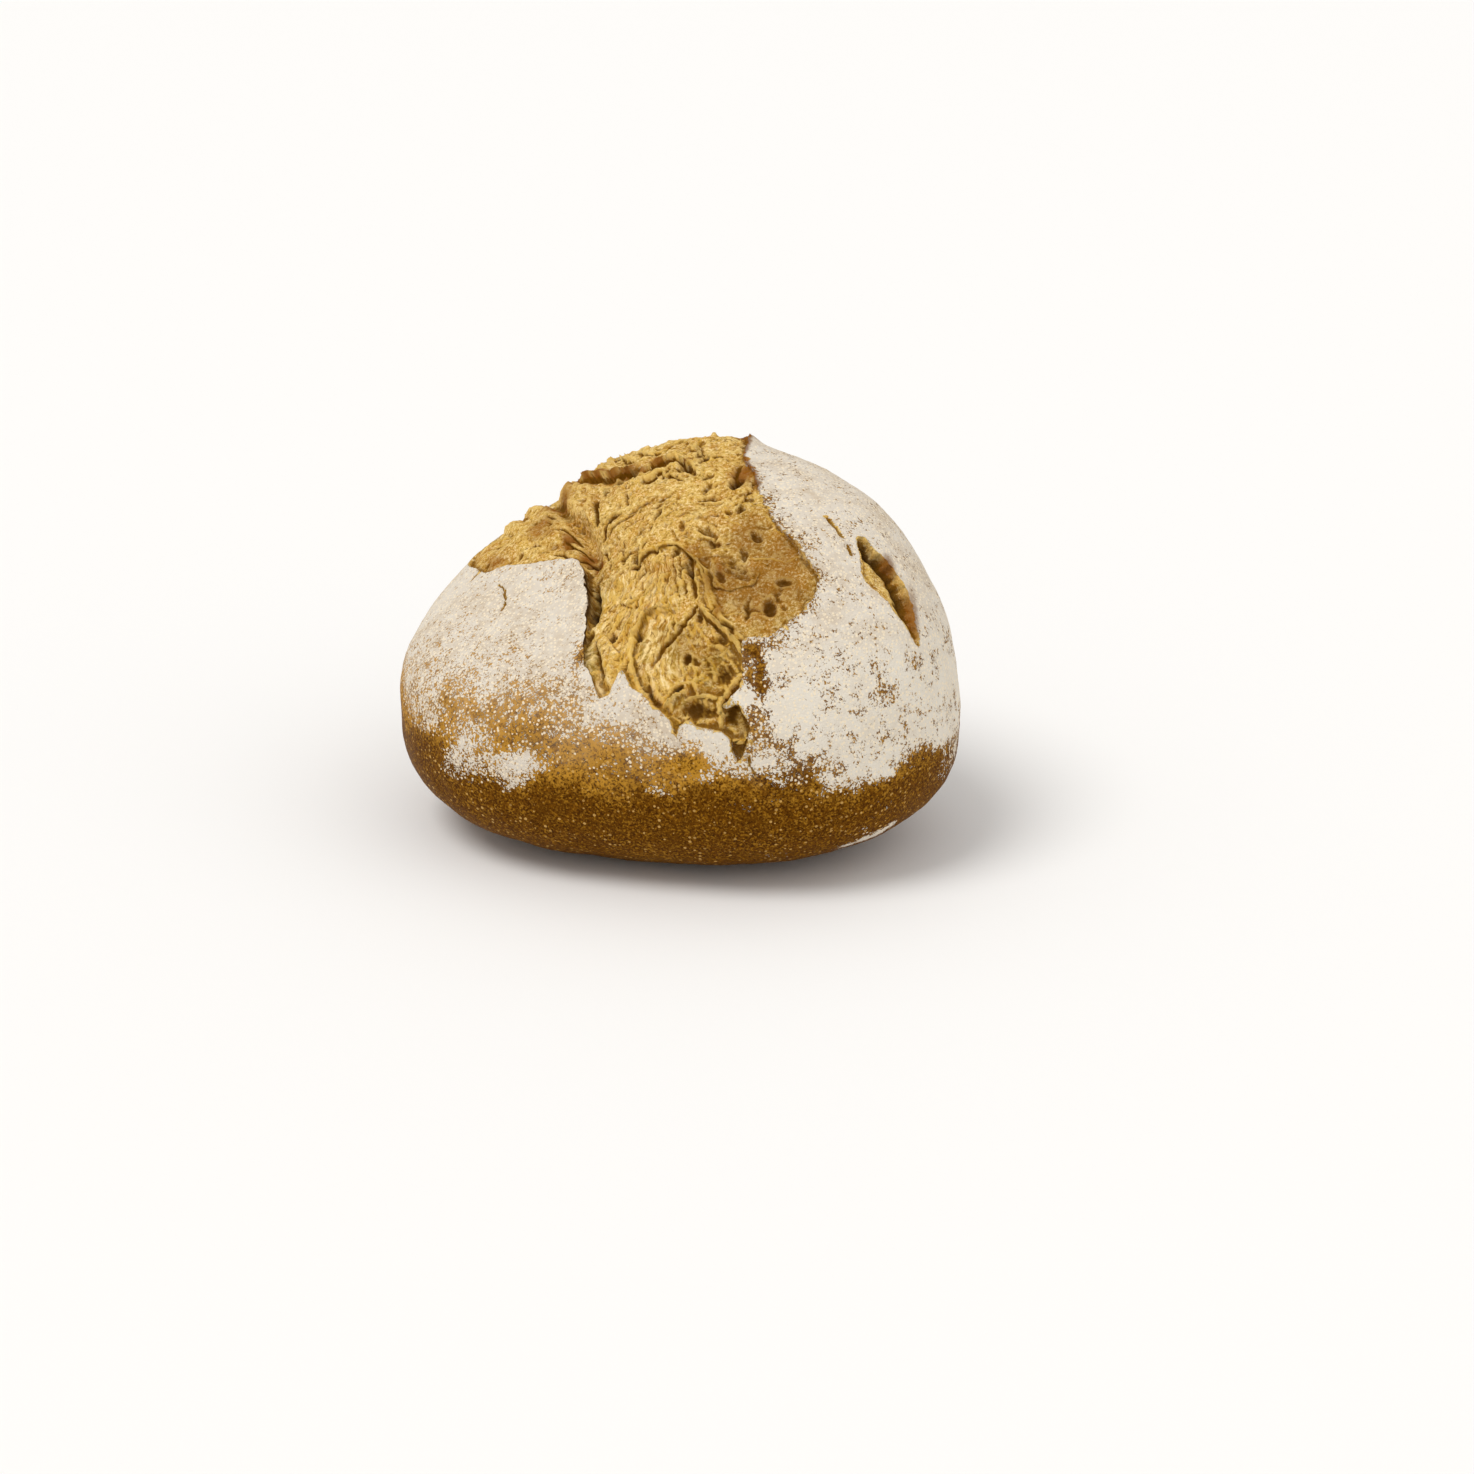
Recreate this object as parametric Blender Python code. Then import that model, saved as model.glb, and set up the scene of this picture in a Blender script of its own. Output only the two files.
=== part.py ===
"""A round sourdough loaf, floured on top, whose crust has burst open along its crown.

Metres, with +Z up. The loaf stands on z = 0 with the middle of its outline at x = y = 0, and the
narrow end of the tear points towards -Y, where the loaf is looked at from.
"""

import math

import bmesh
import bpy
import numpy as np
from mathutils import Vector, noise

MM = 0.001

# Plain body: a round lump, widest a third of the way up and domed towards its back right
BELLY_HEIGHT = 46.1 * MM
MEAN_RADIUS = 93.8 * MM
RADIUS_SWELL_2 = (3.2 * MM, -7.25 * MM)
RADIUS_SWELL_3 = (-0.6 * MM, -5.7 * MM)
DOME_RISE = 75.3 * MM
DOME_LEAN = (28.9 * MM, 19.8 * MM)
UNDERSIDE_DROP = 49.1 * MM
DOME_ROUNDNESS = 2.27
UNDERSIDE_ROUNDNESS = 2.73
UNDERSIDE_SOFTER = (0.2, 0.16)
TOP_SHIFT = (-3.3, 0.1)
TOP_SHIFT_SPAN = 90

# Step along the surface, as a share of the radius, that its normals are taken from
NORMAL_STEP = 0.002
NORMAL_STEP_AWAY_FROM = (0.1, 0.2, 1.0)

# Mesh: a ball of six square grids, with its cells drawn together around the tear
GRID_CELLS = 31
CELL_SCALE_AT_TEAR = 0.48
TEAR_MIDDLE = (0, 24)

# The places below are on a map of the crust, in degrees as seen from the loaf's heart: u to the
# right and v upwards, from a middle that faces -Y and 45 degrees up. Heights are in millimetres.
MAP_TILT = math.radians(45)
MAP_MIDDLE = np.array((0, -math.cos(MAP_TILT), math.sin(MAP_TILT)))
MAP_UPWARDS = np.array((0, math.sin(MAP_TILT), math.cos(MAP_TILT)))

# Edge of the tear: up the left side from the front tip, round the shoulder and back down the right
TEAR_EDGE = (
    (16, -40.5), (12.5, -34.8), (7.4, -34), (3.6, -32.5), (2, -36), (-1, -31.5), (-8.8, -24.7),
    (-11.8, -20.8), (-13.5, -24.5), (-17.3, -27), (-20.3, -21.5), (-23, -17), (-24, -8),
    (-25.2, 5.5), (-27.1, 12.6), (-29.9, 24.4), (-36.9, 27.5), (-48, 29.4), (-57.5, 31.5),
    (-62.5, 31), (-67, 36), (-72, 44), (-70, 62), (-60, 78), (-46, 88), (-31, 92), (-15, 96),
    (-2, 100), (4, 99), (10, 88), (17, 78), (22, 69), (23.5, 62), (21.4, 48.5), (22.2, 42),
    (23.1, 36.5), (23.8, 27), (26.4, 17), (29.7, 9.8), (32.5, 2.5), (32.6, -0.5), (30.5, -4.5),
    (27.3, -8.8), (22.5, -12.5), (17.6, -13.8), (17.2, -21), (15.7, -25), (12.9, -28.6),
    (15.9, -27.5), (18.3, -33),
)
CLIFF_WIDTH = 0.6
CLIFF_MARGIN = 0.02
CRUST_LIP = 1.0
CRUST_LIP_REACH = 3.5
EAR_PLACE = (24, 58)
EAR_RISE = 3.0
EAR_SPREAD = 9

# How far the torn crumb stands above or below the plain body: (u, v, height)
CRUMB_LEVELS = (
    (0, 88, -1), (-25, 78, -1), (14, 78, 0), (0, 64, 1.5), (15, 56, 0.5), (-18, 54, 0), (0, 42, 2.5),
    (-17, 36, 0.5), (0, 23, 2.5), (18, 28, 0), (-16, 18, -0.5), (-26, 20, -6.5), (-23, 5, -6),
    (-21, -10, -3.5), (-18, -20, -3), (-15, 0, -1), (-13, -14, -1.5), (3, 9, -1.5), (6, -3, -5),
    (4, -14, -3.5), (10, -12, -3.5), (-5, -22, -5.5), (12, -20, -5), (6, -29, -5), (14, -32, -3.5),
    (20, 6, -1.5), (27, -2, -1.5), (20, -8, -1.5), (-28, 33, -6), (-38, 34, -2.5), (-50, 34, -2),
    (-62, 36, -1.5), (-50, 47, 0), (-61, 48, 0), (-45, 62, -1), (-30, 68, 0), (-55, 62, -1),
)
CRUMB_LEVEL_SPREAD = 5

# Edges of torn sheets: points with the raised side on their left, then rise, drop and reach
SHEET_EDGES = {
    "crown_lip": (((-4, 12), (-0.7, 17.5), (3, 16.5), (6.7, 13.3), (9, 9)), 1.3, 3.2, 4),
    "left_curtain": (
        ((-1.9, -30), (-7, -27), (-9.7, -21), (-8, -10), (-4.6, -3.8), (0, -1)), 2.2, 2.0, 3,
    ),
    "shoulder_flake": (((-32, 72), (-27, 66), (-23, 65), (-18, 61), (-9, 57)), 4.2, 2.2, 3.5),
    "crown_arc": (((-7, 54.5), (-4, 59), (1, 57.5), (5, 53.9), (8.5, 46.5)), 1.7, 1.7, 2.6),
    "crown_peel": (((-22.5, 33.5), (-21, 38.5), (-17.8, 39.8), (-13.5, 39.4)), 1.2, 1.2, 3),
}
SHEET_EDGE_SOFTNESS = 0.6
ENDS_FADE_OVER = (-0.05, 0.2)

# Stretched strands, then valleys: points, half-width and height
STRANDS = {
    "right_rope": (((7, 14), (9.4, 1.5), (13, -7), (16.3, -14), (16.3, -21), (12, -27)), 1.6, 3.2),
    "basket_rim": (((-2, -30), (1.7, -26), (7, -25.5), (12, -26.5)), 1.3, 2.6),
    "basket_post": (((12, -26.5), (11.7, -30), (12, -34.5)), 1.2, 2.4),
    "left_gap": (((-27, 20), (-24, 9), (-22.3, 0), (-22, -10)), 1.7, -4.0),
    "left_crags": (((-20, -14), (-17.5, -22), (-16, -25)), 1.6, -2.0),
    "arch_shadow": (((6.5, -1.5), (2.3, -5.5), (-1.7, -11), (-5, -18)), 1.6, -3.0),
    "bowl_crevice": (((-7.5, -20), (-6, -25), (-2.3, -28.8)), 1.5, -3.0),
    "shoulder_valley": (
        ((-50, 90), (-44, 74), (-38, 58), (-32, 46), (-29, 36), (-26, 22)), 3.4, -5.0,
    ),
    "right_crack": (((35.5, 20), (37.5, 16), (39, 11.5)), 1.0, -1.0),
    "left_crack": (((-58.4, 24.4), (-55.5, 20), (-53.4, 13)), 1.0, -1.0),
}

# Hollows left by gas bubbles: u, v, half-length, half-width, turn in degrees and depth
BUBBLE_STEEPNESS = 3
BUBBLES = (
    (18.6, 36, 3.2, 1.7, 75, 4.5), (18.7, 25, 1.5, 1.3, 0, 2.2), (-7, 25.5, 2.2, 1.2, 25, 2),
    (22.8, -4.5, 2.2, 1.6, 70, 3.5), (16, 5.5, 3.4, 2.6, 20, 1.2), (18.2, -5.7, 2.8, 1.1, 75, 1.5),
    (14.5, -19, 2.2, 1.6, 60, 2.5), (11.5, -13, 2, 1.5, 0, 1.8), (4.2, -29, 2.6, 2.2, 0, 2.5),
    (9.2, -30.5, 2, 2.2, 0, 2.5), (14.5, -30.5, 1.4, 2.6, 0, 2), (-14, 57, 3.5, 2, 0, 2.5),
    (-21, 54.5, 2.5, 1.6, 20, 2), (-32, 31.5, 2.6, 1.6, 20, 2),
)

# Small burst under a lip on the right flank
SIDE_BURST_EDGE = (
    (41.5, 14), (44.3, 11.5), (48, 6.3), (50.2, 1), (51, -4.6), (52.2, -9), (48.5, -5), (45.5, -1.2),
    (41.6, 3), (41.2, 7.5),
)
SIDE_BURST_DEPTH = 3.2
SIDE_BURST_WALL = (-0.3, 1.5)

# Unevenness: size of the lumps and how far they stand out
CRUST_LUMPS = (24 * MM, 0.8 * MM)
CRUMB_LUMPS = ((13 * MM, 1.3 * MM), (6.5 * MM, 0.9 * MM))

SHARP_FROM = math.radians(50)
CRUST_COLOUR = (0.55, 0.40, 0.24, 1.0)
CRUST_ROUGHNESS = 0.85


def clear_scene():
    for old in list(bpy.data.objects):
        bpy.data.objects.remove(old, do_unlink=True)


def directions_on_map(places):
    """Unit directions from the loaf's heart of places (u, v) on the map."""
    u, v = np.asarray(places, float).T
    turn = np.radians(np.hypot(u, v))
    bearing = np.arctan2(u, v)
    across = np.outer(np.sin(bearing), (1, 0, 0)) + np.outer(np.cos(bearing), MAP_UPWARDS)
    return np.cos(turn)[:, None] * MAP_MIDDLE + np.sin(turn)[:, None] * across


def places_on_map(directions):
    """Places (u, v) on the map of unit directions from the loaf's heart."""
    turn = np.degrees(np.arccos(np.clip(directions @ MAP_MIDDLE, -1, 1)))
    bearing = np.arctan2(directions[:, 0], directions @ MAP_UPWARDS)
    return np.column_stack((turn * np.sin(bearing), turn * np.cos(bearing)))


def plain_body(directions):
    """Points of the unbroken loaf in the given directions from its heart."""
    x, y, z = directions.T
    around = np.arctan2(y, x)
    level = np.hypot(x, y)
    radius = MEAN_RADIUS
    for times, (cosine, sine) in ((2, RADIUS_SWELL_2), (3, RADIUS_SWELL_3)):
        radius = radius + cosine * np.cos(times * around) + sine * np.sin(times * around)
    lean = DOME_LEAN[0] * np.cos(around) + DOME_LEAN[1] * np.sin(around)
    above = z > 0
    height = np.where(above, DOME_RISE + lean * level, UNDERSIDE_DROP)
    softer = UNDERSIDE_SOFTER[0] * np.cos(around) + UNDERSIDE_SOFTER[1] * np.sin(around)
    underside = UNDERSIDE_ROUNDNESS - softer
    power = np.where(above, DOME_ROUNDNESS, underside)
    reach = ((level / radius) ** power + (np.abs(z) / height) ** power) ** (-1 / power)
    points = directions * reach[:, None]
    raised = np.clip(points[:, 2], 0, None) / TOP_SHIFT_SPAN
    points[:, 0] += TOP_SHIFT[0] * raised
    points[:, 1] += TOP_SHIFT[1] * raised
    points[:, 2] += BELLY_HEIGHT
    return points


def outward_normals(directions):
    """Unit normals of the plain body, from two short steps along its surface."""
    sideways = np.cross(directions, NORMAL_STEP_AWAY_FROM)
    sideways /= np.linalg.norm(sideways, axis=1)[:, None]
    onwards = np.cross(directions, sideways)
    here = plain_body(directions)
    moved = []
    for way in (sideways, onwards):
        near = directions + NORMAL_STEP * way
        near /= np.linalg.norm(near, axis=1)[:, None]
        moved.append(plain_body(near) - here)
    normals = np.cross(moved[0], moved[1])
    normals *= np.sign((normals * directions).sum(axis=1))[:, None]
    return normals / np.linalg.norm(normals, axis=1)[:, None]


def rounded(points, closed=False, steps=4):
    """A Catmull-Rom curve through a few map points."""
    points = np.array(points, float)
    count = len(points)
    spans = np.arange(count if closed else count - 1)

    def point(index):
        return points[index % count] if closed else points[np.clip(index, 0, count - 1)]

    before, start, end, after = (point(spans + shift)[:, None] for shift in (-1, 0, 1, 2))
    t = (np.arange(steps) / steps)[None, :, None]
    curve = (start + 0.5 * t * (end - before)
             + 0.5 * t ** 2 * (2 * before - 5 * start + 4 * end - after)
             + 0.5 * t ** 3 * (3 * start - before - 3 * end + after)).reshape(-1, 2)
    return curve if closed else np.vstack((curve, points[-1]))


def nearest_on_curve(places, curve, closed=False):
    """For each place: nearest point of the curve, distance, side (1 is left) and share along it."""
    ends = np.roll(curve, -1, axis=0) if closed else curve[1:]
    starts = curve if closed else curve[:-1]
    spans = ends - starts
    best = np.full(len(places), np.inf)
    nearest = np.zeros_like(places)
    side = np.ones(len(places))
    share = np.zeros(len(places))
    for index, (start, span) in enumerate(zip(starts, spans)):
        offset = places - start
        t = np.clip(offset @ span / max(span @ span, 1e-9), 0, 1)
        point = start + t[:, None] * span
        away = np.hypot(*(places - point).T)
        closer = away < best
        best[closer] = away[closer]
        nearest[closer] = point[closer]
        cross = span[0] * offset[:, 1] - span[1] * offset[:, 0]
        side[closer] = np.where(cross[closer] < 0, -1, 1)
        share[closer] = (index + t[closer]) / len(spans)
    return nearest, best, side, share


def inside_outline(places, curve):
    """Which places lie inside a closed curve, by counting its crossings of a level line."""
    u, v = places.T
    crossings = np.zeros(len(places), int)
    for (u0, v0), (u1, v1) in zip(curve, np.roll(curve, -1, axis=0)):
        spans = (v0 > v) != (v1 > v)
        slope = (u1 - u0) / (v1 - v0 if v1 != v0 else 1e-9)
        crossings += spans & (u < u0 + slope * (v - v0))
    return crossings % 2 == 1


def smooth_step(values, low, high):
    t = np.clip((values - low) / (high - low), 0, 1)
    return t * t * (3 - 2 * t)


def crumb_level(places):
    """Height of the crumb, eased between the named levels."""
    total = np.zeros(len(places))
    weights = np.full(len(places), 1e-9)
    for u, v, height in CRUMB_LEVELS:
        squared = ((places - (u, v)) ** 2).sum(axis=1)
        weight = np.exp(-squared / (2 * CRUMB_LEVEL_SPREAD ** 2))
        total += weight * height
        weights += weight
    return total / weights


def faded_ends(share):
    return smooth_step(np.minimum(share, 1 - share), *ENDS_FADE_OVER)


def sheet_edge(places, points, rise, drop, reach):
    """A torn sheet's edge, raised on the left of its curve and undercut on the right."""
    _, away, side, share = nearest_on_curve(places, rounded(points))
    high = smooth_step(side * away, -SHEET_EDGE_SOFTNESS, SHEET_EDGE_SOFTNESS)
    fade = np.exp(-away / reach) * faded_ends(share)
    return (high * rise - (1 - high) * drop) * fade


def strand(places, points, half_width, height):
    """A rounded strand laid along a curve, or a valley where the height is negative."""
    _, away, _, share = nearest_on_curve(places, rounded(points))
    return height * np.exp(-(away / half_width) ** 2) * faded_ends(share)


def bubble(places, u, v, half_length, half_width, turn, depth):
    """A round-bottomed hollow with steep walls."""
    angle = math.radians(turn)
    du, dv = (places - (u, v)).T
    long_way = (du * math.cos(angle) + dv * math.sin(angle)) / half_length
    short_way = (dv * math.cos(angle) - du * math.sin(angle)) / half_width
    return -depth * np.exp(-np.hypot(long_way, short_way) ** BUBBLE_STEEPNESS)


def lumps(points, size, height):
    """Seeded unevenness: Blender's own noise is the same on each run."""
    return height * np.array([noise.noise(Vector(point / size)) for point in points])


def relief(places, points):
    """Height of the real surface above the plain body, in metres."""
    edge = rounded(TEAR_EDGE, closed=True)
    _, away, _, _ = nearest_on_curve(places, edge, closed=True)
    depth_in = np.where(inside_outline(places, edge), away, -away)
    torn = smooth_step(depth_in, CLIFF_MARGIN, CLIFF_WIDTH - CLIFF_MARGIN)

    crumb = crumb_level(places)
    for sheet in SHEET_EDGES.values():
        crumb += sheet_edge(places, *sheet)
    crust = CRUST_LIP * np.exp(-away / CRUST_LIP_REACH)
    ear = np.exp(-((places - EAR_PLACE) ** 2).sum(axis=1) / EAR_SPREAD ** 2)
    crust += EAR_RISE * ear * np.exp(-away / CRUST_LIP_REACH)

    burst = rounded(SIDE_BURST_EDGE, closed=True)
    _, burst_away, _, _ = nearest_on_curve(places, burst, closed=True)
    burst_in = np.where(inside_outline(places, burst), burst_away, -burst_away)
    crust -= SIDE_BURST_DEPTH * smooth_step(burst_in, *SIDE_BURST_WALL)

    height = (torn * crumb + (1 - torn) * crust) * MM
    for points_along, half_width, stroke_height in STRANDS.values():
        height += strand(places, points_along, half_width, stroke_height) * MM
    for hollow in BUBBLES:
        height += bubble(places, *hollow) * MM
    height += (1 - torn) * lumps(points, *CRUST_LUMPS)
    for size, tall in CRUMB_LUMPS:
        height += torn * lumps(points, size, tall)
    return height


def crowded_ball(cells, scale, middle):
    """A ball of square grids whose cells shrink to a scale around the middle direction."""
    ball = bmesh.new()
    bmesh.ops.create_cube(ball, size=2)
    bmesh.ops.subdivide_edges(ball, edges=ball.edges[:], cuts=cells - 1, use_grid_fill=True)
    corners = np.array([vert.co for vert in ball.verts])
    corners = np.tan(corners * math.pi / 4)
    corners /= np.linalg.norm(corners, axis=1)[:, None]
    cosine = np.clip(corners @ middle, -1, 1)
    turn = 2 * np.arctan(scale * np.tan(np.arccos(cosine) / 2))
    across = corners - cosine[:, None] * middle
    across /= np.maximum(np.linalg.norm(across, axis=1), 1e-9)[:, None]
    ball.verts.index_update()
    return ball, np.cos(turn)[:, None] * middle + np.sin(turn)[:, None] * across


def fitted_to_edge(ball, places):
    """The grid's places, with one row moved onto the tear's edge and the next to the step's foot."""
    edge = rounded(TEAR_EDGE, closed=True)
    nearest, away, _, _ = nearest_on_curve(places, edge, closed=True)
    within = inside_outline(places, edge)
    on_edge = set()
    for link in ball.edges:
        first, second = (vert.index for vert in link.verts)
        if within[first] != within[second]:
            on_edge.add(first if away[first] < away[second] else second)
    at_foot = set()
    for face in ball.faces:
        corners = {vert.index for vert in face.verts}
        if corners & on_edge:
            at_foot |= {index for index in corners - on_edge if within[index]}
    for face in ball.faces[:]:
        corners = face.verts[:]
        for first, second in ((corners[0], corners[2]), (corners[1], corners[3])):
            if first.index in on_edge and second.index in on_edge:
                bmesh.utils.face_split(face, first, second)
                break
    fitted = places.copy()
    for index in on_edge:
        fitted[index] = nearest[index]
    for index in at_foot:
        inwards = (places[index] - nearest[index]) / away[index]
        fitted[index] = nearest[index] + CLIFF_WIDTH * inwards
    return fitted


def crust_material():
    material = bpy.data.materials.new("baked_crust")
    material.use_nodes = True
    shader = material.node_tree.nodes["Principled BSDF"]
    shader.inputs["Base Color"].default_value = CRUST_COLOUR
    shader.inputs["Roughness"].default_value = CRUST_ROUGHNESS
    shader.inputs["Metallic"].default_value = 0.0
    return material


def build_loaf():
    middle = directions_on_map([TEAR_MIDDLE])[0]
    ball, directions = crowded_ball(GRID_CELLS, CELL_SCALE_AT_TEAR, middle)
    places = fitted_to_edge(ball, places_on_map(directions))
    directions = directions_on_map(places)
    plain = plain_body(directions)
    height = relief(places, plain)
    points = plain + outward_normals(directions) * height[:, None]
    points[:, 2] = np.maximum(points[:, 2], 0)
    points[:, :2] -= (points[:, :2].min(axis=0) + points[:, :2].max(axis=0)) / 2
    for vert, point in zip(ball.verts, points):
        vert.co = point
    bmesh.ops.triangulate(ball, faces=ball.faces[:])
    bmesh.ops.recalc_face_normals(ball, faces=ball.faces[:])
    mesh = bpy.data.meshes.new("loaf")
    ball.to_mesh(mesh)
    ball.free()
    mesh.materials.append(crust_material())
    mesh.shade_smooth()
    mesh.set_sharp_from_angle(angle=SHARP_FROM)
    loaf = bpy.data.objects.new("loaf", mesh)
    bpy.context.scene.collection.objects.link(loaf)
    return loaf


clear_scene()
build_loaf()
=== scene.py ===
# %% [markdown]
# # A floured sourdough loaf, torn open by its own rise
#
# A round loaf like this is dusted with flour, set in a hot oven and left to burst. The crust dries
# first, the dough behind it keeps growing, and the skin rips. What shows in the rip is stretched
# crumb: fibres, bubbles and peeled sheets, golden and matt. Round it lies pale flour, and below the
# flour line the bare crust has baked brown. This lesson models that skin as one fine mesh, and
# paints it with materials that know where it tore.

import math

import bmesh
import bpy
import numpy as np
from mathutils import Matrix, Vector, noise


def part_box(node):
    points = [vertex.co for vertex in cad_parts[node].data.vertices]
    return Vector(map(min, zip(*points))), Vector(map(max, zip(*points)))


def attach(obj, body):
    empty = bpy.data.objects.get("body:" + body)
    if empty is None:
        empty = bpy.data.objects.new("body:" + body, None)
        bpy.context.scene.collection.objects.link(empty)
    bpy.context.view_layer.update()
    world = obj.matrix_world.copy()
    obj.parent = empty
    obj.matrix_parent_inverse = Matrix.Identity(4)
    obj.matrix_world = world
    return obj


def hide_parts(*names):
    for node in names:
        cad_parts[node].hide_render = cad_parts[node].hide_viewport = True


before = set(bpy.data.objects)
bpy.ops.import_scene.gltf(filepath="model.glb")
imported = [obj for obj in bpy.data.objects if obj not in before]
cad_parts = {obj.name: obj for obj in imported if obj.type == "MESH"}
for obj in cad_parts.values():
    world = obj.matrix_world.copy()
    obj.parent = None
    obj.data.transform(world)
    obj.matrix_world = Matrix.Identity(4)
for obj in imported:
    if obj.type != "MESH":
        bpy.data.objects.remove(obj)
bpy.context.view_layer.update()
MM = 0.001
loaf_low, loaf_high = (np.array(corner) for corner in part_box("loaf"))
print("loaf box in mm", (loaf_high - loaf_low) * 1000)

# %% [markdown]
# ## The camera
#
# A loaf is photographed from a little above and from about a metre away, so that its flanks hardly
# taper. The camera stands on the loaf's front side and looks down by about 21 degrees. The lens
# follows from how large the loaf is in the frame.

# %% Set up the camera
CAMERA_PLACE = (20.87 * MM, -1078.9 * MM, 440 * MM)
CAMERA_LOOKS_DOWN = math.radians(21)
FRAME_PIXELS = 1474
FOCAL_PIXELS = 3200
SENSOR_MM = 36

camera = bpy.data.objects.new("camera", bpy.data.cameras.new("camera"))
camera.location = CAMERA_PLACE
camera.rotation_euler = (math.radians(90) - CAMERA_LOOKS_DOWN, 0, 0)
camera.data.sensor_width = SENSOR_MM
camera.data.lens = SENSOR_MM * FOCAL_PIXELS / FRAME_PIXELS
bpy.context.scene.collection.objects.link(camera)
bpy.context.scene.camera = camera
print("lens in mm", camera.data.lens)

# %% [markdown]
# ## Colours and nodes
#
# Colours are easiest to read as the hex values of a paint chart. Blender's shaders count in linear
# light, so one function turns the one into the other. A second function adds any shader node: what
# is given as a socket is linked, and everything else is set.

# %% Two helpers for materials
def tone(hex_code):
    """Linear colour, with alpha 1, of an sRGB hex value."""
    shares = [int(hex_code[index:index + 2], 16) / 255 for index in (1, 3, 5)]
    return tuple(share / 12.92 if share <= 0.04045 else ((share + 0.055) / 1.055) ** 2.4
                 for share in shares) + (1.0,)


def put(tree, kind, inputs=None, **settings):
    """Add a node with its settings; sockets among the inputs are linked, values are set."""
    made = tree.nodes.new("ShaderNode" + kind)
    for name, value in settings.items():
        setattr(made, name, value)
    for name, value in (inputs or {}).items():
        if isinstance(value, bpy.types.NodeSocket):
            tree.links.new(value, made.inputs[name])
        else:
            made.inputs[name].default_value = value
    return made


print("flour white in linear light", tone("#ECE3D2"))

# %% [markdown]
# ## Floor and light
#
# The loaf stands on a plain pale floor. Bread looks best in broad, even light: an all-round white
# sky does most of the work, one large soft light from above and the left gives the torn crumb its
# small shadows, and a weak one fills the right flank. Suns light near and far floor alike.

# %% Lay the floor and set the lights
FLOOR_HALF_WIDTH = 9.0
SKY_STRENGTH = 0.68

floor_mesh = bpy.data.meshes.new("floor")
floor_corners = [(x * FLOOR_HALF_WIDTH, y * FLOOR_HALF_WIDTH, 0) for x, y in
                 ((-1, -1), (1, -1), (1, 1), (-1, 1))]
floor_mesh.from_pydata(floor_corners, [], [(0, 1, 2, 3)])
floor = bpy.data.objects.new("floor", floor_mesh)
bpy.context.scene.collection.objects.link(floor)

paper = bpy.data.materials.new("studio_paper")
paper.use_nodes = True
paper_shader = paper.node_tree.nodes["Principled BSDF"]
paper_shader.inputs["Base Color"].default_value = tone("#F4F2EF")
paper_shader.inputs["Roughness"].default_value = 0.9
paper_shader.inputs["Specular IOR Level"].default_value = 0.2
floor_mesh.materials.append(paper)


def hang_light(name, towards, strength, spread):
    """A far light that shines along a direction, with a soft edge to its shadows."""
    light = bpy.data.lights.new(name, "SUN")
    light.energy = strength
    light.angle = math.radians(spread)
    lamp = bpy.data.objects.new(name, light)
    lamp.rotation_euler = Vector(towards).to_track_quat("-Z", "Y").to_euler()
    bpy.context.scene.collection.objects.link(lamp)


hang_light("key_light", towards=(0.5, 0.3, -1.0), strength=1.35, spread=30)
hang_light("fill_light", towards=(-0.9, 0.5, -0.7), strength=0.35, spread=60)

world = bpy.data.worlds.new("studio")
world.use_nodes = True
world.node_tree.nodes["Background"].inputs["Color"].default_value = tone("#FFFFFF")
world.node_tree.nodes["Background"].inputs["Strength"].default_value = SKY_STRENGTH
bpy.context.scene.world = world
bpy.context.scene.view_settings.view_transform = "Standard"
print("floor in metres", 2 * FLOOR_HALF_WIDTH, "and sky strength", SKY_STRENGTH)

# %% [markdown]
# ## A map of the crust
#
# The tear has a shape of its own, so it is drawn on a map, as a coastline is. A place on the map is
# a pair of degrees (u, v) as seen from the loaf's heart: u to the right and v upwards, from a middle
# that faces the front and 45 degrees up. One degree is about 1.8 mm of crust. Everything that tears,
# peels or bubbles is then placed with two small numbers.

# %% Go between directions and the map
MAP_TILT = math.radians(45)
MM_PER_DEGREE = 1.8
MAP_MIDDLE = np.array((0, -math.cos(MAP_TILT), math.sin(MAP_TILT)))
MAP_UPWARDS = np.array((0, math.sin(MAP_TILT), math.cos(MAP_TILT)))


def directions_on_map(places):
    """Unit directions from the loaf's heart of places (u, v) on the map."""
    u, v = np.asarray(places, float).T
    turn = np.radians(np.hypot(u, v))
    bearing = np.arctan2(u, v)
    across = np.outer(np.sin(bearing), (1, 0, 0)) + np.outer(np.cos(bearing), MAP_UPWARDS)
    return np.cos(turn)[:, None] * MAP_MIDDLE + np.sin(turn)[:, None] * across


def places_on_map(directions):
    """Places (u, v) on the map of unit directions from the loaf's heart."""
    turn = np.degrees(np.arccos(np.clip(directions @ MAP_MIDDLE, -1, 1)))
    bearing = np.arctan2(directions[:, 0], directions @ MAP_UPWARDS)
    return np.column_stack((turn * np.sin(bearing), turn * np.cos(bearing)))


print("straight up is map place", places_on_map(np.array([(0.0, 0.0, 1.0)]))[0])

# %% [markdown]
# ## The plain body
#
# Before it tears, the loaf is a lump: a round outline that swells towards two and three sides, a
# dome that leans to the back right, and an underside that tucks in and ends flat. A superellipse
# gives the dome and the tuck from a handful of real sizes, the same ones as the solid's.

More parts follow.
